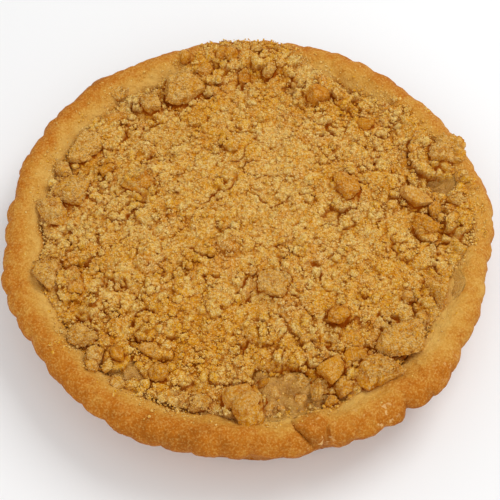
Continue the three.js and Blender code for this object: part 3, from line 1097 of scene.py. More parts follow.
@dataclass
class PastryCase:
    """The fluted case, turned from its section and pressed into its flutes and bulges."""

    # how strongly the flutes, and the bulges and nicks, show at each height of the outer side
    FLUTE_LEVELS = (0.0, 1.6, SHAPE.shoulder_height, 27.0, 29.3, SHAPE.crown_height)
    FLUTE_SHARES = (0.3, 0.9, 1.0, 0.8, 0.3, 0.0)
    BULGE_SHARES = (0.2, 0.3, 1.0, 1.0, 1.0, 0.8)
    # how strongly the bulges show at each radius of the inner side
    INNER_RADII = (SHAPE.floor_radius, 86.0, 90.8, SHAPE.rim_radius - SHAPE.crown_inset)
    INNER_SHARES = (0.0, 0.2, 0.5, 0.8)
    # the share of the crown's wave at radii of the inner slope
    WAVE_RADII = (86.0, 90.8)
    WAVE_SHARES = (0.2, 1.0)
    # the height of the case's upper side at each radius
    SURFACE_RADII = (0, 82, 83.6, 86, 90.8, 92.6, 94.5, 97.4, 101.2, 101.9, 102.2)
    SURFACE_LEVELS = (6.5, 6.5, 14.0, 23.5, 28.1, 29.5, 30.0, 29.7, 27.0, 24.0, 0.0)
    # how browned the crust is at each depth in from the rim's edge
    BROWNING_DEPTHS = (0.0, 2.5, 7.0, 11.0, 15.0)
    BROWNING = (0.64, 0.6, 0.52, 0.22, -0.04)
    # the outer wall's darkness: partly browning, partly painted shade
    WALL_BROWNING_AND_SHADE = 0.85
    MIDDLE_OF_WALL = (97.8, 13.0)

    columns: int = 1080
    spacing: float = 0.95
    wave: float = 0.75
    dimple: float = 0.28

    def section(self) -> np.ndarray:
        """The section's outline from the middle of the base to the middle of the floor.

        Returns:
            Points of radius and height, (n, 2), in millimetres.
        """
        s = SHAPE
        crown = s.rim_radius - s.crown_inset
        knots = np.array(
            [
                (s.base_radius - 1.6, 0.0),
                (s.base_radius, 1.6),
                self.MIDDLE_OF_WALL,
                (s.rim_radius - 0.2, s.shoulder_height - 1.5),
                (s.rim_radius - 0.5, s.shoulder_height + 2.6),
                (s.rim_radius - 3.2, s.crown_height - 0.7),
                (crown, s.crown_height),
                (s.rim_radius - 0.7 * s.rim_width, s.crown_height - 1.9),
                (s.rim_radius - s.rim_width, s.slope_foot),
                (s.floor_radius + 1.6, s.slope_foot - 8.0),
                (s.floor_radius, s.floor_thickness),
            ]
        )
        points = [self._curve(knots, k) for k in range(len(knots) - 1)]
        base = [(radius, 0.0) for radius in (0.0, 30.0, 60.0, 85.0)]
        floor = [(radius, s.floor_thickness) for radius in (60.0, 30.0, 0.0)]
        return np.concatenate([base, *points, knots[-1:], floor])

    def _curve(self, knots: np.ndarray, k: int) -> np.ndarray:
        """Points on a smooth curve from knot k up to the next one, without that one.

        Args:
            knots: The section's knots.
            k: The knot where the piece starts.

        Returns:
            One row for each point.
        """
        ahead, behind = min(k + 2, len(knots) - 1), max(k - 1, 0)
        length = np.linalg.norm(knots[k + 1] - knots[k])
        share = np.linspace(0.0, 1.0, max(2, round(length / self.spacing)), endpoint=False)[:, None]
        leave, arrive = (knots[k + 1] - knots[behind]) / 2, (knots[ahead] - knots[k]) / 2
        if k == 0:
            leave = leave * 0.5
        cube, square = share**3, share**2
        return (
            (2 * cube - 3 * square + 1) * knots[k]
            + (cube - 2 * square + share) * leave
            + (3 * square - 2 * cube) * knots[k + 1]
            + (cube - square) * arrive
        )

    def turned(self) -> bpy.types.Mesh:
        """The plain case, turned from its section."""
        shape = bmesh.new()
        verts = [shape.verts.new((r * MM, 0.0, z * MM)) for r, z in self.section()]
        edges = [shape.edges.new(pair) for pair in zip(verts, verts[1:])]
        bmesh.ops.spin(
            shape, geom=verts + edges, cent=(0, 0, 0), axis=(0, 0, 1), dvec=(0, 0, 0),
            angle=math.tau, steps=self.columns, use_merge=True,
        )  # fmt: skip
        bmesh.ops.remove_doubles(shape, verts=shape.verts, dist=0.01 * MM)
        return mesh_from_bmesh("pastry_case", shape)

    def pressed(self, points: np.ndarray) -> np.ndarray:
        """Presses the flutes, bulges, nicks, waves and the flap into the plain case.

        Args:
            points: The plain case's vertices in millimetres.

        Returns:
            Where they end.
        """
        s = SHAPE
        radius, azimuth = polar(points[:, 0], points[:, 1])
        height = points[:, 2]
        crown = s.rim_radius - s.crown_inset
        outside = (radius >= crown) & (height > 0.01) | (radius > s.base_radius - 3.0) & (height < 1.0)
        flute = np.where(outside, np.interp(height, self.FLUTE_LEVELS, self.FLUTE_SHARES), 0.0)
        outer = np.interp(height, self.FLUTE_LEVELS, self.BULGE_SHARES)
        inner = np.interp(radius, self.INNER_RADII, self.INNER_SHARES)
        inner = np.where(height < s.floor_thickness + 0.5, 0.0, inner)
        rim = np.where(outside, outer, inner)
        on_slope = height > s.slope_foot - 1.0
        inner_lift = np.interp(radius, self.WAVE_RADII, self.WAVE_SHARES) * on_slope
        outer_lift = np.interp(height, [s.shoulder_height, 27.0, 29.3], [0, 0.4, 1.0])
        lift = np.where(outside, outer_lift, inner_lift)
        edge = swelling(s.bulges, azimuth) + swelling(s.nicks, azimuth)
        moved = radius + flute * s.flute_relief(azimuth) + rim * edge
        raised = height + lift * s.crown_wave(azimuth, radius)
        raised -= lift * 1.3 * s.crease(azimuth, radius)
        angle = np.radians(azimuth)
        return np.stack([moved * np.cos(angle), moved * np.sin(angle), raised], axis=1)

    def toast(self, points: np.ndarray) -> np.ndarray:
        """How browned each point is: most on the crown, least in the slope beside the crumble. The outer
        wall's dark brown is partly browning and partly painted shade, and the fold's crease is painted
        shade.

        Args:
            points: Points of the case, (n, 3), in millimetres.

        Returns:
            One value for each point.
        """
        s = SHAPE
        radius, azimuth = polar(points[:, 0], points[:, 1])
        depth = s.rim_radius + swelling(s.bulges, azimuth) - radius
        across = np.interp(depth, self.BROWNING_DEPTHS, self.BROWNING)
        # the outer wall below the shoulder is darker: partly browning, partly painted shade
        wall = smoothstep(s.shoulder_height + 2.5 - points[:, 2], 0.0, 4.0)
        blotch = 0.1 * SOFT_NOISE.at(points, 14.0) + 0.12 * SOFT_NOISE.at(points + 30.0, 6.0)
        # painted shade in the fold's crease; the flap itself is browner
        fold = 0.3 * s.crease(azimuth, radius) + 0.22 * s.flap(azimuth, radius)
        browning = across + swelling(s.brownings, azimuth) + blotch + fold
        return lerp(browning, self.WALL_BROWNING_AND_SHADE, wall)

    def build(self, finish: PastryFinish) -> bpy.types.Object:
        """Makes the case and dresses it.

        Args:
            finish: The look of baked pastry.

        Returns:
            The piece.
        """
        mesh = self.turned()
        plain = read_points(mesh) / MM
        points = self.pressed(plain)
        write_points(mesh, points * MM)
        normals = read_normals(mesh)
        relief = self.wave * SOFT_NOISE.at(points, 9.0) + self.dimple * SOFT_NOISE.rough(points, 2.6, 2)
        free = smoothstep(plain[:, 2], 0.0, 2.0)
        points = points + normals * (relief * free)[:, None]
        write_points(mesh, points * MM)
        paint(mesh, "toast", self.toast(points))
        radius, azimuth = polar(points[:, 0], points[:, 1])
        crown = smoothstep(radius, 91.0, 94.0)
        # where the painted highlights fleck the crown
        paint(mesh, "painted_highlight", 0.8 * crown * swelling(SHAPE.highlight_spots, azimuth))
        mesh.materials.append(finish.build())
        return finish_piece("pastry", mesh, ["pastry_case"])

    def surface(self, x: np.ndarray, y: np.ndarray) -> np.ndarray:
        """Height of the case's inner slope and crown at points seen from above.

        Args:
            x: Places across the pie in millimetres.
            y: Places along the pie in millimetres.

        Returns:
            Heights in millimetres.
        """
        s = SHAPE
        radius, azimuth = polar(x, y)
        edge = swelling(s.bulges, azimuth) + swelling(s.nicks, azimuth)
        inner = radius - edge * np.interp(radius, self.INNER_RADII, self.INNER_SHARES)
        height = np.interp(inner, self.SURFACE_RADII, self.SURFACE_LEVELS)
        wave = np.interp(radius, self.WAVE_RADII, self.WAVE_SHARES)
        return height + s.crown_wave(azimuth, radius) * wave


@dataclass
class AppleFilling:
    """The stewed apple that fills the case up to the crumble."""

    segments: int = 170
    depth: float = 15.0
    tuck: float = 0.8  # how far its edge runs into the case
    edge_rise: float = 0.9
    smear_depth: float = 0.4
    smear_bulge: float = 1.0

    def build(self, finish: FillingFinish, case: PastryCase) -> bpy.types.Object:
        """Makes the filling, smeared up the case in places, and dresses it.

        Args:
            finish: The look of stewed apple.
            case: The case that it lies in.

        Returns:
            The piece.
        """
        s = SHAPE
        reach = s.rim_radius - s.rim_width + self.tuck
        mesh = round_slab("apple_filling", self.segments, reach, s.filling_height - self.depth)
        points = read_points(mesh) / MM
        top = points[:, 2] > s.filling_height - 0.5 * self.depth
        radius, azimuth = polar(points[:, 0], points[:, 1])
        out = radius / reach
        smear = swelling(s.smears, azimuth)
        points[:, :2] *= (1.0 + smear / reach * out**6)[:, None]
        x, y = points[:, 0], points[:, 1]
        height = s.filling_top(x, y) + self.edge_rise * smoothstep(out, 0.94, 1.0)
        slope = case.surface(x, y) + self.smear_depth + self.smear_bulge * (1.0 - out**20)
        height = np.where((smear > 0.5) & (out > 0.9), np.maximum(height, slope), height)
        points[:, 2] = np.where(top, height, points[:, 2])
        write_points(mesh, points * MM)
        paint(mesh, "chunk", smoothstep(height - s.filling_height, 0.0, 2.6))
        mesh.materials.append(finish.build())
        return finish_piece("filling", mesh, ["apple_filling"])


def round_slab(name: str, segments: int, radius: float, underside: float) -> bpy.types.Mesh:
    """A closed round slab whose top is a fine grid at the filling's height.

    Args:
        name: The mesh's name.
        segments: Cells across the grid.
        radius: The slab's radius in millimetres.
        underside: The height of its flat underside in millimetres.

    Returns:
        The mesh, in metres.
    """
    shape = bmesh.new()
    top = SHAPE.filling_height * MM
    bmesh.ops.create_grid(
        shape, x_segments=segments, y_segments=segments, size=1.0, matrix=Matrix.Translation((0, 0, top))
    )
    for vert in shape.verts:
        x, y = vert.co.x, vert.co.y
        vert.co.x = x * math.sqrt(1.0 - y * y / 2.0) * radius * MM
        vert.co.y = y * math.sqrt(1.0 - x * x / 2.0) * radius * MM
    rim = [edge for edge in shape.edges if edge.is_boundary]
    made = bmesh.ops.extrude_edge_only(shape, edges=rim)["geom"]
    lowered = [item for item in made if isinstance(item, bmesh.types.BMVert)]
    for vert in lowered:
        vert.co = (vert.co.x * 0.975, vert.co.y * 0.975, underside * MM)
    bmesh.ops.contextual_create(shape, geom=[e for e in shape.edges if e.is_boundary])
    return mesh_from_bmesh(name, shape)


class Surface(NamedTuple):
    """A lump's surface: how far its knobs and grains stand out in millimetres, and its sand."""

    knob_rise: float
    grain_rise: float
    sanding: float


class LumpKind(Enum):
    """The surfaces that a lump can have."""

    SANDY = Surface(0.9, 0.8, 1.0)
    CRUSTY = Surface(0.8, 0.7, 0.5)
    SMOOTH = Surface(0.4, 0.3, 0.12)


@dataclass(frozen=True)
class LumpLook:
    """The shape and colour of a baked lump: its sizes in millimetres and its turn in degrees.

    lobes are its rounded parts and cuts its flat sides. tone goes from 0, sandy, to 1, golden.
    """

    kind: LumpKind
    turn: float
    long: float
    wide: float
    lobes: int
    cuts: int
    tone: float
    toast: float


@dataclass
class Lump:
    """A baked lump of crumble: a knobbly, lobed chunk with flattened sides."""

    KNOB_WIDTH = 3.0
    GRAIN_WIDTH = 1.0
    SUNK = 2.4

    look: LumpLook
    middle: tuple[float, float]
    top: float
    depth: float
    seed: int
    subdivisions: int = 6
    points: np.ndarray = field(init=False)
    faces: np.ndarray = field(init=False)
    knobs: np.ndarray = field(init=False)
    sand: np.ndarray = field(init=False)

    def __post_init__(self) -> None:
        """Shapes the lump in place."""
        look, rng = self.look, np.random.default_rng(self.seed)
        ball, self.faces = unit_ball(self.subdivisions)
        chunk = self._lobed(ball, rng)
        half = np.array((look.long / 2, look.wide / 2, self.depth / 2))
        chunk = (chunk - (chunk.max(0) + chunk.min(0)) / 2) / (np.ptp(chunk, axis=0) / 2) * half
        shift = rng.uniform(0.0, 60.0, 3)
        self.knobs = GRAIN_NOISE.at(chunk + shift, self.KNOB_WIDTH)
        grains = GRAIN_NOISE.at(chunk + shift, self.GRAIN_WIDTH)
        dusted = smoothstep(SOFT_NOISE.at(chunk + shift, 5.0) + 0.8 * ball[:, 2], -0.5, 0.5)
        self.sand = dusted * grains
        rise = look.kind.value.grain_rise * (0.35 + 0.65 * dusted)
        relief = look.kind.value.knob_rise * (self.knobs - GRAIN_NOISE.USUAL)
        relief = relief + rise * (grains - GRAIN_NOISE.USUAL)
        chunk += ball * relief[:, None]
        chunk = chunk @ np.array(Matrix.Rotation(math.radians(-look.turn), 3, "Z"))
        chunk[:, 2] += self.top - chunk[:, 2].max()
        self.points = chunk + (*self.middle, 0.0)

    def _lobed(self, ball: np.ndarray, rng: np.random.Generator) -> np.ndarray:
        """A chunk of a few lobes with flat cuts, of about unit size.

        Args:
            ball: Points of a unit ball, (n, 3).
            rng: The source of its random numbers.

        Returns:
            The same points, moved.
        """
        reach = np.zeros(len(ball))
        for _ in range(self.look.lobes):
            offset = rng.normal(size=3) * (1.0, 1.0, 0.35)
            offset *= rng.uniform(0.25, 0.5) / np.linalg.norm(offset)
            along = ball @ offset
            size = rng.uniform(0.6, 0.8)
            reach = np.maximum(reach, along + np.sqrt(along**2 - offset @ offset + size**2))
        chunk = ball * reach[:, None]
        for _ in range(self.look.cuts + 2):
            facing = rng.normal(size=3) * (1.0, 1.0, 0.7)
            facing /= np.linalg.norm(facing)
            out = chunk @ facing
            over = np.maximum(out - rng.uniform(0.55, 0.8) * out.max(), 0.0)
            chunk -= facing * (0.9 * over)[:, None]
        return chunk

    def dress(self, mesh: bpy.types.Mesh, ground: Ground) -> None:
        """Paints the lump: golden and dusted with pale sand, with painted shade in its creases, on its
        lower sides and at its foot, and a little all over.

        Args:
            mesh: The lump's mesh.
            ground: The crumble's ground.
        """
        x, y, z = self.points.T
        pale = 0.3 * SOFT_NOISE.at(self.points, 3.0) - 0.45 * (self.sand - 0.4)
        paint(mesh, "tone", self.look.tone + 0.1 + pale)
        toast = (0.1 + self.look.toast) * (0.9 + 0.9 * SOFT_NOISE.at(self.points + 20.0, 4.0))
        paint(mesh, "toast", toast)
        # painted shade at the lump's foot, where it meets the crumble
        foot = smoothstep(ground.sample(ground.wide, x, y) + 0.6 - z, 0.0, 2.2)
        crease = smoothstep(0.62 - self.knobs, 0.0, 0.22)
        low = smoothstep(self.top - z, 0.15 * self.depth, 0.6 * self.depth)
        bare = 1.0 - self.look.kind.value.sanding
        # painted shade: the hollow colour on its lower sides and in its creases
        paint(mesh, "depth", 0.25 + 0.25 * bare + 0.4 * low + 0.4 * crease)
        foot *= 1.0 - 0.6 * SHAPE.bareness(x, y)
        # painted shade: a little all over, more at its foot and in its creases
        paint(mesh, "pit_shade", 0.14 + 0.08 * bare + 0.7 * foot + 0.3 * crease)

    def build(self, name: str, nodes: list[str], finish: bpy.types.Material, ground: Ground) -> None:
        """Makes the lump's own piece.

        Args:
            name: The piece's name.
            nodes: The CAD nodes that it stands for.
            finish: Its material.
            ground: The crumble's ground.
        """
        mesh = joined_mesh(name, self.points[None], self.faces)
        self.dress(mesh, ground)
        mesh.materials.append(finish)
        finish_piece(name, mesh, nodes)

    @classmethod
    def at_node(cls, node: str, look: LumpLook, seed: int) -> "Lump":
        """The lump that stands for a CAD node, as high as the node and sunk a little deeper.

        Args:
            node: The CAD node's name.
            look: Its kind and turn.
            seed: The seed of its shape.

        Returns:
            The lump.
        """
        low, high = (np.array(corner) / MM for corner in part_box(node))
        middle = (low + high) / 2
        return cls(look, (middle[0], middle[1]), high[2], high[2] - low[2] + cls.SUNK, seed)


class Clumps(NamedTuple):
    """Clumps that are pressed into the crumble bed, with their half-lengths in millimetres.

    height and sink are ranges: of the height as a share of the half-length, and of the share of
    the height that is sunk in. fine_chance is the chance of one where the crumble is fine, and
    toasted is the share of them that are toasted.
    """

    count: int
    largest: float
    smallest: float
    height: tuple[float, float]
    sink: tuple[float, float]
    fine_chance: float
    toasted: float


@dataclass
class CrumbleBed:
    """The crumble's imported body, with clumps pressed up into its top, the largest first."""

    segments: int = 308
    underside: float = 20.0
    seed: int = 11
    crumb_width: float = 2.6
    crumb_rise: float = 0.5
    grain_width: float = 1.3
    grain_rise: float = 0.8
    crack_depth: float = 1.3
    mound_share: float = 0.32
    buried_drop: float = 1.5
    edge_drop: float = 0.5
    clumps: tuple[Clumps, ...] = (
        Clumps(110, 8.0, 4.5, (0.2, 0.3), (0.05, 0.2), 0.8, 0.0),
        Clumps(700, 3.4, 1.9, (0.3, 0.5), (0.1, 0.5), 0.3, 0.1),
        Clumps(1600, 1.9, 1.1, (0.4, 0.65), (0.2, 0.6), 0.6, 0.08),
    )

    def press_clumps(self, ground: Ground) -> None:
        """Presses the clumps into the ground.

        Args:
            ground: The crumble's ground.
        """
        rng = np.random.default_rng(self.seed)
        for clumps in self.clumps:
            self._press(ground, rng, clumps)

    def heap_up(self, ground: Ground, lumps: Iterable[Lump]) -> None:
        """Heaps crumble up round the large lumps, so that they stick out of it.

        Args:
            ground: The crumble's ground.
            lumps: The large lumps.
        """
        for lump in lumps:
            foot = Patch(*lump.middle, lump.look.long, lump.look.wide, lump.look.turn)
            near = 1.0 - smoothstep(foot.share(ground.x, ground.y), 0.7, 1.8)
            level = ground.heights[ground.cell(*lump.middle)]
            mound = level + self.mound_share * (lump.top - level) * near
            ground.lay_over(np.where(near > 0.0, mound, 0.0))

    def roughen(self, ground: Ground) -> None:
        """Covers the ground with packed crumbs and the grains that they are made of.

        Args:
            ground: The crumble's ground.
        """
        flat = in_plan(ground.x, ground.y)
        bend = np.stack([SOFT_NOISE.at(flat, 2.4), SOFT_NOISE.at(flat + 31.0, 2.4)], axis=1)
        crumbs = GRAIN_NOISE.at(flat[:, :2] + 0.9 * bend, self.crumb_width) - GRAIN_NOISE.USUAL
        grains = GRAIN_NOISE.at(flat[:, :2] + 0.4 * bend, self.grain_width) - GRAIN_NOISE.USUAL
        coarse = lerp(0.55, 1.2, SHAPE.coarseness(ground.x, ground.y))
        relief = self.crumb_rise * coarse * crumbs + self.grain_rise * grains
        ground.heights += relief.reshape(ground.shape) - self.crack_depth * ground.cracks

    def _press(self, ground: Ground, rng: np.random.Generator, clumps: Clumps) -> None:
        """Presses clumps of one kind into the ground at random places.

        Args:
            ground: The crumble's ground.
            rng: The source of its random numbers.
            clumps: Their sizes and number.
        """
        tries = 3 * clumps.count
        azimuth = rng.uniform(-180.0, 180.0, tries)
        radius = (SHAPE.heap_reach(azimuth) - clumps.smallest) * np.sqrt(rng.uniform(0.0, 1.0, tries))
        x, y = radius * np.cos(np.radians(azimuth)), radius * np.sin(np.radians(azimuth))
        chance = lerp(clumps.fine_chance, 1.0, SHAPE.coarseness(x, y)) * (1.0 - SHAPE.bareness(x, y))
        kept = np.flatnonzero(rng.uniform(0.0, 1.0, tries) < chance)[: clumps.count]
        sizes = lerp(clumps.largest, clumps.smallest, (np.arange(len(kept)) / clumps.count) ** 0.5)
        for size, k in zip(sizes, kept):
            long, wide = size * rng.uniform(0.9, 1.25), size * rng.uniform(0.7, 1.0)
            tall = size * rng.uniform(*clumps.height)
            z = ground.heights[ground.cell(x[k], y[k])] - tall * rng.uniform(*clumps.sink)
            toast = rng.uniform(0.35, 0.85) * (rng.uniform() < clumps.toasted)
            oval = Oval(x[k], y[k], z, long, wide, tall, rng.uniform(0.0, math.pi))
            ground.press(oval, rng.uniform(), toast)

    def build(self, finish: bpy.types.Material, top: np.ndarray, ground: Ground) -> None:
        """Makes the bed and dresses it.

        Args:
            finish: Its material.
            top: The raster of its own top.
            ground: The ground with all that lies on the bed.
        """
        mesh = round_slab("crumble_bed", self.segments, 1.0, self.underside)
        points = read_points(mesh) / MM
        upper = points[:, 2] > SHAPE.filling_height - 0.1
        _, azimuth = polar(points[:, 0], points[:, 1])
        reach = SHAPE.heap_reach(azimuth)
        points[:, :2] *= reach[:, None]
        x, y = points[:, 0], points[:, 1]
        height = ground.sample(top, x, y)
        buried = ground.sample(ground.bare, x, y) - height
        height = height - self.buried_drop * smoothstep(buried, 0.0, 0.4)
        edge = smoothstep(np.hypot(x, y) / reach, 0.975, 1.0)
        points[:, 2] = np.where(upper, height - self.edge_drop * edge, points[:, 2])
        write_points(mesh, points * MM)
        tones, toasts = ground.sample(ground.tones, x, y), ground.sample(ground.toasts, x, y)
        dress_crumbs(mesh, points, ground, tones, toasts)
        mesh.materials.append(finish)
        finish_piece("crumble_bed", mesh, ["crumble_topping"])


def dress_crumbs(
    mesh: bpy.types.Mesh, points: np.ndarray, ground: Ground, tones: np.ndarray, toasts: np.ndarray
) -> None:
    """Paints a mesh of crumble with its tone and toast, and with painted shade: depth in its hollows, pits
    in its crevices.

    Tone and toast vary in broad and in small patches. The painted shade of depth and pits grows with how
    far a point lies under the levels near it, and less so beside the rim, where the ground falls away.

    Args:
        mesh: The mesh.
        points: Its vertices in millimetres.
        ground: The settled ground, whose levels tell cracks from tops.
        tones: Each vertex's own tone, from 0, sandy, to 1, golden.
        toasts: Each vertex's own toast.
    """
    x, y, z = points.T
    flat = points * (1.0, 1.0, 0.0)
    zone = 0.3 * SOFT_NOISE.at(flat, 16.0) + 0.35 * SOFT_NOISE.at(flat + 50.0, 4.0)
    zone += SHAPE.gold(x, y)
    coarse = SHAPE.coarseness(x, y)
    paint(mesh, "tone", 0.46 + zone + 0.2 * (coarse - 0.5) + 0.7 * (tones - 0.5))
    spot = SOFT_NOISE.at(flat + 11.0, 7.0) + 0.5 * SOFT_NOISE.at(flat + 73.0, 3.0)
    paint(mesh, "toast", np.maximum(toasts, 0.6 * smoothstep(spot, 0.45, 1.0)))
    near, wide = ground.sample(ground.near, x, y) - z, ground.sample(ground.wide, x, y) - z
    by_slope = smoothstep(np.hypot(x, y), 82.0, 86.0)
    shade = 1.0 - 0.6 * by_slope * (1.0 - smoothstep(z, 27.0, 29.0))
    # painted shade: hollows below the near level get the saturated hollow colour
    paint(mesh, "depth", shade * smoothstep(near, -0.1, 0.6))
    crack_shade, lump_shade = ground.sample(ground.cracks, x, y), ground.sample(ground.lump_shade, x, y)
    # painted shade: pits in crevices, in the cracks and round the lumps
    pit_shade = 0.8 * smoothstep(near, 0.4, 1.1) + 0.2 * smoothstep(wide, 1.2, 3.0)
    paint(mesh, "pit_shade", shade * pit_shade + 0.5 * crack_shade + 0.3 * smoothstep(lump_shade, 0.15, 0.55))


@dataclass
class Crumbs:
    """Many loose crumbs of one kind, in one piece.

    spacing is their grid's, in millimetres, and largest and smallest are their half-sizes. chances
    are those of a crumb in a cell, in fine and in coarse crumble, and tone is a mean and a spread.
    """

    TOASTED_SHARE = 0.05
    STRAY_FADE = 1.6
    FAR_STRAY_SHARE = 0.015
    EDGE_BLUR = 1.2
    BARE_CUT = 0.92
    RIM_MARGIN = 3.0

    name: str
    seed: int
    spacing: float
    largest: float
    smallest: float
    subdivisions: int
    chances: tuple[float, float]
    tone: tuple[float, float]
    lump_chance: float = 0.0
    at_edge: bool = False
    stray_chance: float = 0.0
    fine: bool = True
    variants: int = 16
    bodies: np.ndarray = field(init=False)
    faces: np.ndarray = field(init=False)
    tones: np.ndarray = field(init=False)
    toasts: np.ndarray = field(init=False)

    def shapes(self, rng: np.random.Generator) -> np.ndarray:
        """A few knobbly crumbs of about unit size, (variants, n, 3).

        Args:
            rng: The source of its random numbers.

        Returns:
            Their points.
        """
        ball, self.faces = unit_ball(self.subdivisions)
        made = []
        for _ in range(self.variants):
            bump = SOFT_NOISE.at(ball * 2.0 + rng.uniform(0, 60, 3), 1.6)
            bump += 0.6 * SOFT_NOISE.at(ball * 2.0 + rng.uniform(0, 60, 3), 0.8)
            made.append(ball * (1.0 + 0.5 * bump)[:, None] * rng.uniform(0.65, 1.25, 3))
        return np.array(made)

    def spots(self, rng: np.random.Generator, ground: Ground) -> np.ndarray:
        """Where the crumbs lie: one in most cells of a jittered grid, in no order, (count, 2).

        Args:
            rng: The source of its random numbers.
            ground: The crumble's ground.

        Returns:
            Places in millimetres.
        """
        side = np.arange(-SHAPE.rim_radius, SHAPE.rim_radius, self.spacing)
        grids = np.meshgrid(side, side)
        x, y = (grid.ravel() + rng.uniform(0, self.spacing, grid.size) for grid in grids)
        radius, azimuth = polar(x, y)
        reach = SHAPE.heap_reach(azimuth)
        if self.at_edge:
            spilt = SHAPE.heap_radius + swelling(SHAPE.edge_crumbs, azimuth)
            reach = np.maximum(reach, spilt) + self.EDGE_BLUR
        over = radius + self.smallest - reach - rng.normal(0.0, self.EDGE_BLUR, len(x))
        covered = 1.0 - self.BARE_CUT * SHAPE.bareness(x, y)
        inside = lerp(*self.chances, SHAPE.coarseness(x, y)) * covered
        past = self.stray_chance * np.exp(-np.maximum(over, 0.0) / self.STRAY_FADE)
        chance = np.where(over < 0.0, inside, past) + self.stray_chance * self.FAR_STRAY_SHARE
        on_lump = ground.sample(ground.on_lump, x, y) > 0.4
        sticking = self.lump_chance * ground.sample(ground.sanding, x, y) ** 1.4
        chance = np.where(on_lump, sticking, chance)
        chance *= ground.sample(ground.cracks, x, y) < 0.35
        chance *= radius < SHAPE.rim_radius - self.RIM_MARGIN
        kept = np.flatnonzero(rng.uniform(0.0, 1.0, len(x)) < chance)
        rng.shuffle(kept)
        return np.stack([x[kept], y[kept]], axis=1)

    def lay(self, ground: Ground) -> None:
        """Lays the crumbs on the ground, the largest first, and presses each into it in turn.

        Args:
            ground: The crumble's ground.
        """
        rng = np.random.default_rng(self.seed)
        shapes, spots = self.shapes(rng), self.spots(rng, ground)
        count = len(spots)
        sizes = lerp(self.largest, self.smallest, (np.arange(count) / count) ** 0.6)
        self.tones = np.clip(rng.normal(*self.tone, count), 0.0, 1.0)
        self.toasts = rng.uniform(0.2, 0.6, count)
        self.toasts *= rng.uniform(0.0, 1.0, count) < self.TOASTED_SHARE
        lifts = rng.uniform(-0.6, 0.1, count) * sizes
        middles = np.empty((count, 3))
        for k, (x, y) in enumerate(spots):
            cell = ground.cell(x, y)
            self.toasts[k] = max(self.toasts[k], 0.8 * ground.toasts[cell])
            middles[k] = (x, y, ground.heights[cell] + lifts[k])
            size = sizes[k]
            ground.press(Oval(*middles[k], size, size, 0.9 * size), self.tones[k], self.toasts[k])
        turns = np.array([Euler(turn).to_matrix() for turn in rng.uniform(0, math.tau, (count, 3))])
        chosen = shapes[rng.integers(0, self.variants, count)]
        self.bodies = np.einsum("kvi,kij->kvj", chosen, turns) * sizes[:, None, None]
        self.bodies += middles[:, None, :]

    def build(self, finish: bpy.types.Material, ground: Ground) -> None:
        """Makes the piece, with all its crumbs, and dresses it.

        Args:
            finish: Its material.
            ground: The crumble's ground.
        """
        mesh = joined_mesh(self.name, self.bodies, self.faces)
        size = self.bodies.shape[1]
        points = self.bodies.reshape(-1, 3)
        dress_crumbs(mesh, points, ground, np.repeat(self.tones, size), np.repeat(self.toasts, size))
        mesh.materials.append(finish)
        finish_piece(self.name, mesh, [])


# ---------------------------------------------------------------- the studio


class Lamp(NamedTuple):
    """A soft square light that faces the pie: its place and size in metres, and its watts."""

    name: str
    place: tuple[float, float, float]
    size: float
    power: float

    def build(self) -> None:
        """Adds the light."""
        light = bpy.data.lights.new(self.name, "AREA")
        light.size = self.size
        light.energy = self.power
        lamp = bpy.data.objects.new(self.name, light)
        lamp.location = self.place
        lamp.rotation_euler = Vector(self.place).to_track_quat("Z", "Y").to_euler()
        bpy.context.scene.collection.objects.link(lamp)


@dataclass(frozen=True)
class Studio:
    """A pale floor, soft light from the far right, and the camera at the photo's angle."""

    elevation: float = 58.815
    roll: float = 0.43
    lens: float = 70.876
    camera_place: tuple[float, float, float] = (0.00081, -0.22335, 0.37304)
    floor_size: float = 3.0
    floor_color: tuple = (0.86, 0.86, 0.86, 1.0)
    floor_roughness: float = 0.9
    floor_specular: float = 0.5
    world_strength: float = 0.7
    lamps: tuple[Lamp, ...] = (
        Lamp("key", (0.41, 0.35, 0.76), 0.5, 3.8),
        Lamp("front", (-0.15, -0.75, 0.55), 0.8, 2.1),
    )

    def build(self) -> None:
        """Sets the studio up."""
        self.add_floor()
        for lamp in self.lamps:
            lamp.build()
        world = bpy.data.worlds.new("studio")
        world.use_nodes = True
        background = world.node_tree.nodes["Background"]
        background.inputs["Color"].default_value = (1.0, 1.0, 1.0, 1.0)
        background.inputs["Strength"].default_value = self.world_strength
        bpy.context.scene.world = world
        bpy.context.scene.view_settings.view_transform = "Standard"
        self.add_camera()

    def add_floor(self) -> None:
        """Adds the floor that the pie stands on."""
        shape = bmesh.new()
        bmesh.ops.create_grid(shape, x_segments=1, y_segments=1, size=self.floor_size / 2)
        mesh = mesh_from_bmesh("floor", shape)
        tree = ShaderTree("floor")
        roughness, specular = self.floor_roughness, self.floor_specular
        mesh.materials.append(tree.set_surface(self.floor_color, None, roughness, specular))
        floor = bpy.data.objects.new("floor", mesh)
        bpy.context.scene.collection.objects.link(floor)

    def add_camera(self) -> None:
        """Adds the camera."""
        camera = bpy.data.objects.new("camera", bpy.data.cameras.new("camera"))
        camera.data.lens = self.lens
        camera.data.sensor_width = 36.0
        camera.location = self.camera_place
        tilt = Matrix.Rotation(math.radians(90.0 - self.elevation), 4, "X")
        turn = Matrix.Rotation(math.radians(self.roll), 4, "Z")
        camera.rotation_euler = (tilt @ turn).to_euler()
        bpy.context.scene.collection.objects.link(camera)
        bpy.context.scene.camera = camera


# ---------------------------------------------------------------- putting the pie together


SANDY, CRUSTY, SMOOTH = LumpKind.SANDY, LumpKind.CRUSTY, LumpKind.SMOOTH
LUMP_SEED, SMALL_LUMP_SEED = 100, 300
SMALL_LUMP_SUNK = 4.0  # how deep a small lump sits in the crumble

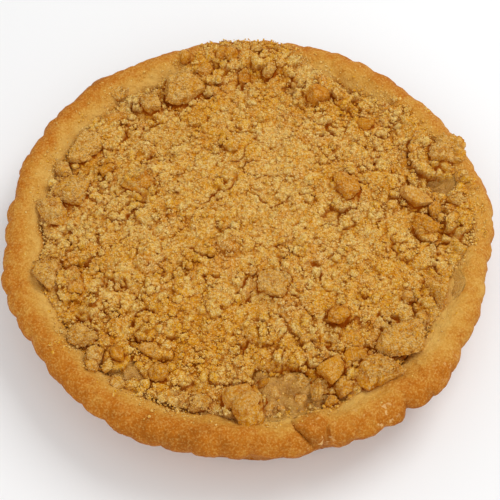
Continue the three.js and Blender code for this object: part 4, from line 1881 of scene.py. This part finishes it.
# by node: kind, turn, length, width, lobes, cuts, tone and toast
LUMP_LOOKS = {
    "crumble_lump_01": LumpLook(SANDY, 20, 19.0, 16.5, 3, 3, 0.5, 0.05),
    "crumble_lump_02": LumpLook(SMOOTH, 30, 11.0, 10.0, 1, 3, 0.7, 0.35),
    "crumble_lump_03": LumpLook(SANDY, -40, 11.5, 9.5, 2, 3, 0.5, 0.1),
    "crumble_lump_04": LumpLook(SANDY, 70, 18.0, 12.5, 2, 4, 0.35, 0.05),
    "crumble_lump_05": LumpLook(SANDY, 15, 15.5, 14.0, 2, 4, 0.5, 0.05),
    "crumble_lump_06": LumpLook(SANDY, -38, 15.5, 11.0, 1, 5, 0.45, 0.0),
    "crumble_lump_07": LumpLook(CRUSTY, 50, 12.5, 11.0, 2, 3, 0.8, 0.6),
    "crumble_lump_08": LumpLook(SMOOTH, 80, 12.5, 10.5, 1, 2, 0.9, 0.5),
    "crumble_lump_09": LumpLook(CRUSTY, -30, 12.5, 11.0, 3, 3, 0.9, 0.6),
    "crumble_lump_10": LumpLook(SMOOTH, -32, 15.5, 7.5, 1, 3, 0.3, 0.0),
    "crumble_lump_11": LumpLook(CRUSTY, -20, 12.5, 9.0, 2, 3, 0.85, 0.6),
    "crumble_lump_12": LumpLook(SANDY, 25, 16.5, 14.0, 3, 3, 0.5, 0.15),
    "crumble_lump_13": LumpLook(SANDY, -75, 18.5, 12.5, 2, 5, 0.35, 0.05),
    "crumble_lump_14": LumpLook(CRUSTY, -68, 15.5, 8.0, 2, 4, 0.7, 0.35),
    "crumble_lump_15": LumpLook(SANDY, 25, 12.0, 10.0, 3, 3, 0.45, 0.05),
    "crumble_lump_16": LumpLook(SANDY, -70, 11.5, 9.0, 2, 3, 0.45, 0.1),
    "crumble_lump_17": LumpLook(SMOOTH, 120, 15.0, 13.0, 2, 2, 0.5, 0.1),
    "crumble_lump_18": LumpLook(SANDY, 10, 21.0, 16.0, 3, 4, 0.6, 0.1),
    "crumble_lump_19": LumpLook(SANDY, 22, 18.5, 12.5, 3, 4, 0.6, 0.15),
    "crumble_lump_20": LumpLook(SMOOTH, 60, 11.0, 9.5, 1, 6, 0.85, 0.1),
    "crumble_lump_21": LumpLook(SANDY, 82, 15.0, 9.0, 3, 4, 0.55, 0.1),
    "crumble_lump_22": LumpLook(SANDY, 0, 13.5, 12.5, 3, 2, 0.45, 0.1),
}

# smaller lumps: their middles seen from above, how far they stand out of the crumble, and looks
SMALL_LUMPS = (
    ((-80.7, 27.0), 4.0, LumpLook(SANDY, 0, 9.5, 9.5, 2, 3, 0.35, 0.0)),
    ((40.6, 68.5), 3.5, LumpLook(SANDY, 80, 8.0, 6.0, 2, 3, 0.4, 0.0)),
    ((78.3, 5.7), 4.0, LumpLook(CRUSTY, 60, 8.5, 7.0, 2, 3, 0.75, 0.3)),
    ((51.8, 52.1), 3.0, LumpLook(SMOOTH, 0, 8.0, 7.0, 1, 3, 0.8, 0.4)),
    ((-50.5, -61.7), 3.5, LumpLook(SMOOTH, 100, 7.0, 6.0, 1, 3, 0.85, 0.1)),
    ((-49.9, -73.4), 3.2, LumpLook(SANDY, 10, 7.0, 6.0, 1, 4, 0.4, 0.0)),
    ((-33.9, -67.7), 4.2, LumpLook(CRUSTY, 0, 8.5, 8.0, 3, 3, 0.7, 0.1)),
    ((5.4, -71.3), 4.4, LumpLook(SMOOTH, 35, 6.0, 5.0, 1, 5, 0.85, 0.2)),
    ((68.7, -44.1), 3.5, LumpLook(SANDY, 80, 6.6, 6.0, 2, 3, 0.5, 0.0)),
    ((27.6, -74.2), 4.0, LumpLook(SANDY, 80, 10.5, 7.5, 3, 3, 0.4, 0.0)),
    ((36.2, -73.6), 4.0, LumpLook(CRUSTY, 60, 8.5, 8.0, 3, 3, 0.75, 0.1)),
    ((32.0, -79.0), 3.0, LumpLook(CRUSTY, 20, 6.5, 5.5, 2, 3, 0.8, 0.1)),
    ((41.5, -61.5), 3.0, LumpLook(SMOOTH, 40, 9.0, 8.0, 2, 3, 0.9, 0.1)),
    ((1.5, -87.0), 5.6, LumpLook(CRUSTY, 80, 11.5, 10.5, 2, 2, 0.75, 0.1)),
    ((89.2, 35.6), 2.8, LumpLook(SANDY, 60, 14.0, 12.0, 3, 2, 0.6, 0.3)),
    ((91.5, 22.5), 1.6, LumpLook(SANDY, 20, 7.0, 6.0, 2, 3, 0.45, 0.0)),
    ((95.5, 14.5), 1.6, LumpLook(CRUSTY, 80, 6.5, 6.0, 2, 3, 0.6, 0.2)),
    ((88.0, 9.5), 2.4, LumpLook(SANDY, 10, 8.5, 7.0, 3, 3, 0.45, 0.0)),
    ((35.8, -45.0), 3.0, LumpLook(CRUSTY, 0, 8.7, 8.0, 2, 3, 0.85, 0.5)),
    ((64.2, -34.8), 3.0, LumpLook(CRUSTY, 80, 7.0, 6.4, 2, 3, 0.6, 0.1)),
    ((-17.5, -80.4), 4.0, LumpLook(SANDY, 0, 10.0, 8.0, 3, 3, 0.4, 0.0)),
    ((-10.9, 90.3), 4.0, LumpLook(CRUSTY, 15, 10.5, 8.5, 3, 3, 0.8, 0.4)),
    ((-30.2, 88.0), 3.4, LumpLook(SMOOTH, 60, 6.5, 6.0, 2, 2, 0.8, 0.2)),
    ((-20.4, 82.0), 3.0, LumpLook(CRUSTY, 30, 8.0, 7.0, 2, 3, 0.8, 0.3)),
    ((-2.5, 80.5), 3.0, LumpLook(CRUSTY, 120, 8.5, 7.0, 2, 3, 0.8, 0.45)),
    ((9.0, 82.5), 3.2, LumpLook(SANDY, 70, 10.0, 6.0, 2, 3, 0.35, 0.0)),
    ((-14.0, 70.5), 2.6, LumpLook(CRUSTY, 0, 8.0, 6.5, 2, 3, 0.85, 0.4)),
    ((-58.2, 69.0), 2.4, LumpLook(SANDY, 30, 9.0, 7.0, 3, 3, 0.45, 0.05)),
    ((-60.5, 25.5), 2.4, LumpLook(CRUSTY, 10, 8.0, 6.0, 2, 3, 0.9, 0.15)),
    ((-38.0, -59.0), 2.6, LumpLook(CRUSTY, 10, 8.5, 7.5, 3, 3, 0.7, 0.1)),
    ((11.2, -75.4), 1.9, LumpLook(SMOOTH, 10, 7.5, 5.5, 2, 2, 0.1, 0.0)),
    ((20.4, -78.0), 1.5, LumpLook(SMOOTH, 70, 7.0, 5.5, 3, 2, 0.2, 0.0)),
    ((15.4, -69.2), 1.8, LumpLook(SANDY, 30, 7.5, 6.0, 3, 2, 0.3, 0.0)),
    ((8.2, -81.2), 1.6, LumpLook(SMOOTH, 40, 6.5, 5.0, 2, 2, 0.3, 0.0)),
    ((21.5, -70.5), 1.8, LumpLook(SANDY, 110, 8.0, 6.0, 3, 2, 0.4, 0.0)),
)

LOOSE_CRUMBS = (
    Crumbs(
        "medium_crumbs", 31, spacing=2.5, largest=2.1, smallest=0.95, subdivisions=2,
        chances=(0.05, 0.42), tone=(0.6, 0.25), fine=False,
    ),
    Crumbs(
        "small_crumbs", 32, spacing=1.4, largest=0.95, smallest=0.5, subdivisions=1,
        chances=(0.55, 0.65), tone=(0.6, 0.25), lump_chance=0.12, at_edge=True, stray_chance=0.25,
    ),
    Crumbs(
        "golden_grains", 33, spacing=1.05, largest=0.6, smallest=0.36, subdivisions=0,
        chances=(0.8, 0.8), tone=(0.65, 0.25), lump_chance=0.4, at_edge=True, stray_chance=0.25,
    ),
    Crumbs(
        "pale_grains", 34, spacing=1.05, largest=0.5, smallest=0.3, subdivisions=0,
        chances=(0.85, 0.75), tone=(0.15, 0.2), lump_chance=0.5, at_edge=True, stray_chance=0.3,
    ),
)  # fmt: skip


def small_lumps(ground: Ground) -> list[Lump]:
    """The lumps that are too small for a CAD node, standing on the ground.

    Args:
        ground: What they stand on.

    Returns:
        The lumps.
    """
    lumps = []
    for k, (middle, rise, look) in enumerate(SMALL_LUMPS):
        top = float(ground.heights[ground.cell(*middle)]) + rise
        depth = rise + SMALL_LUMP_SUNK
        lumps.append(Lump(look, middle, top, depth, SMALL_LUMP_SEED + k, subdivisions=5))
    return lumps


def build_crumble(case: PastryCase) -> None:
    """Builds the crumble: its bed, its lumps and its loose crumbs.

    Args:
        case: The pastry case that the crumble lies in.
    """
    ground, bed = Ground(), CrumbleBed()
    lumps = {}
    for k, (node, look) in enumerate(LUMP_LOOKS.items()):
        lumps[node] = Lump.at_node(node, look, LUMP_SEED + k)
    bed.heap_up(ground, lumps.values())
    bed.press_clumps(ground)
    bed.roughen(ground)
    bed_top = ground.heights.copy()
    ground.lay_over(case.surface(ground.x, ground.y))
    ground.lay_over(SHAPE.filling_top(ground.x, ground.y))
    ground.bare = ground.heights.copy()
    ground.settle()
    finish = CrumbFinish("crumble", bump_depth=0.22).build()
    for node, lump in lumps.items():
        lump.build(node.replace("crumble_", ""), [node], finish, ground)
    small = small_lumps(ground)
    for k, lump in enumerate(small):
        lump.build(f"small_lump_{k + 1:02d}", [], finish, ground)
    for lump in [*lumps.values(), *small]:
        ground.press_lump(lump.points, lump.look.kind.value.sanding)
    for crumbs in LOOSE_CRUMBS:
        crumbs.lay(ground)
    ground.settle()
    bed.build(finish, bed_top, ground)
    fine_finish = CrumbFinish("crumble_grains", bump_depth=0.04, relief=0.2).build()
    for crumbs in LOOSE_CRUMBS:
        crumbs.build(fine_finish if crumbs.fine else finish, ground)


def main() -> None:
    """Builds the pie piece by piece, and the studio round it."""
    logging.basicConfig(level=logging.INFO, format="%(message)s")
    Studio().build()
    case = PastryCase()
    case.build(PastryFinish())
    AppleFilling().build(FillingFinish(), case)
    build_crumble(case)


if __name__ == "__main__":
    main()
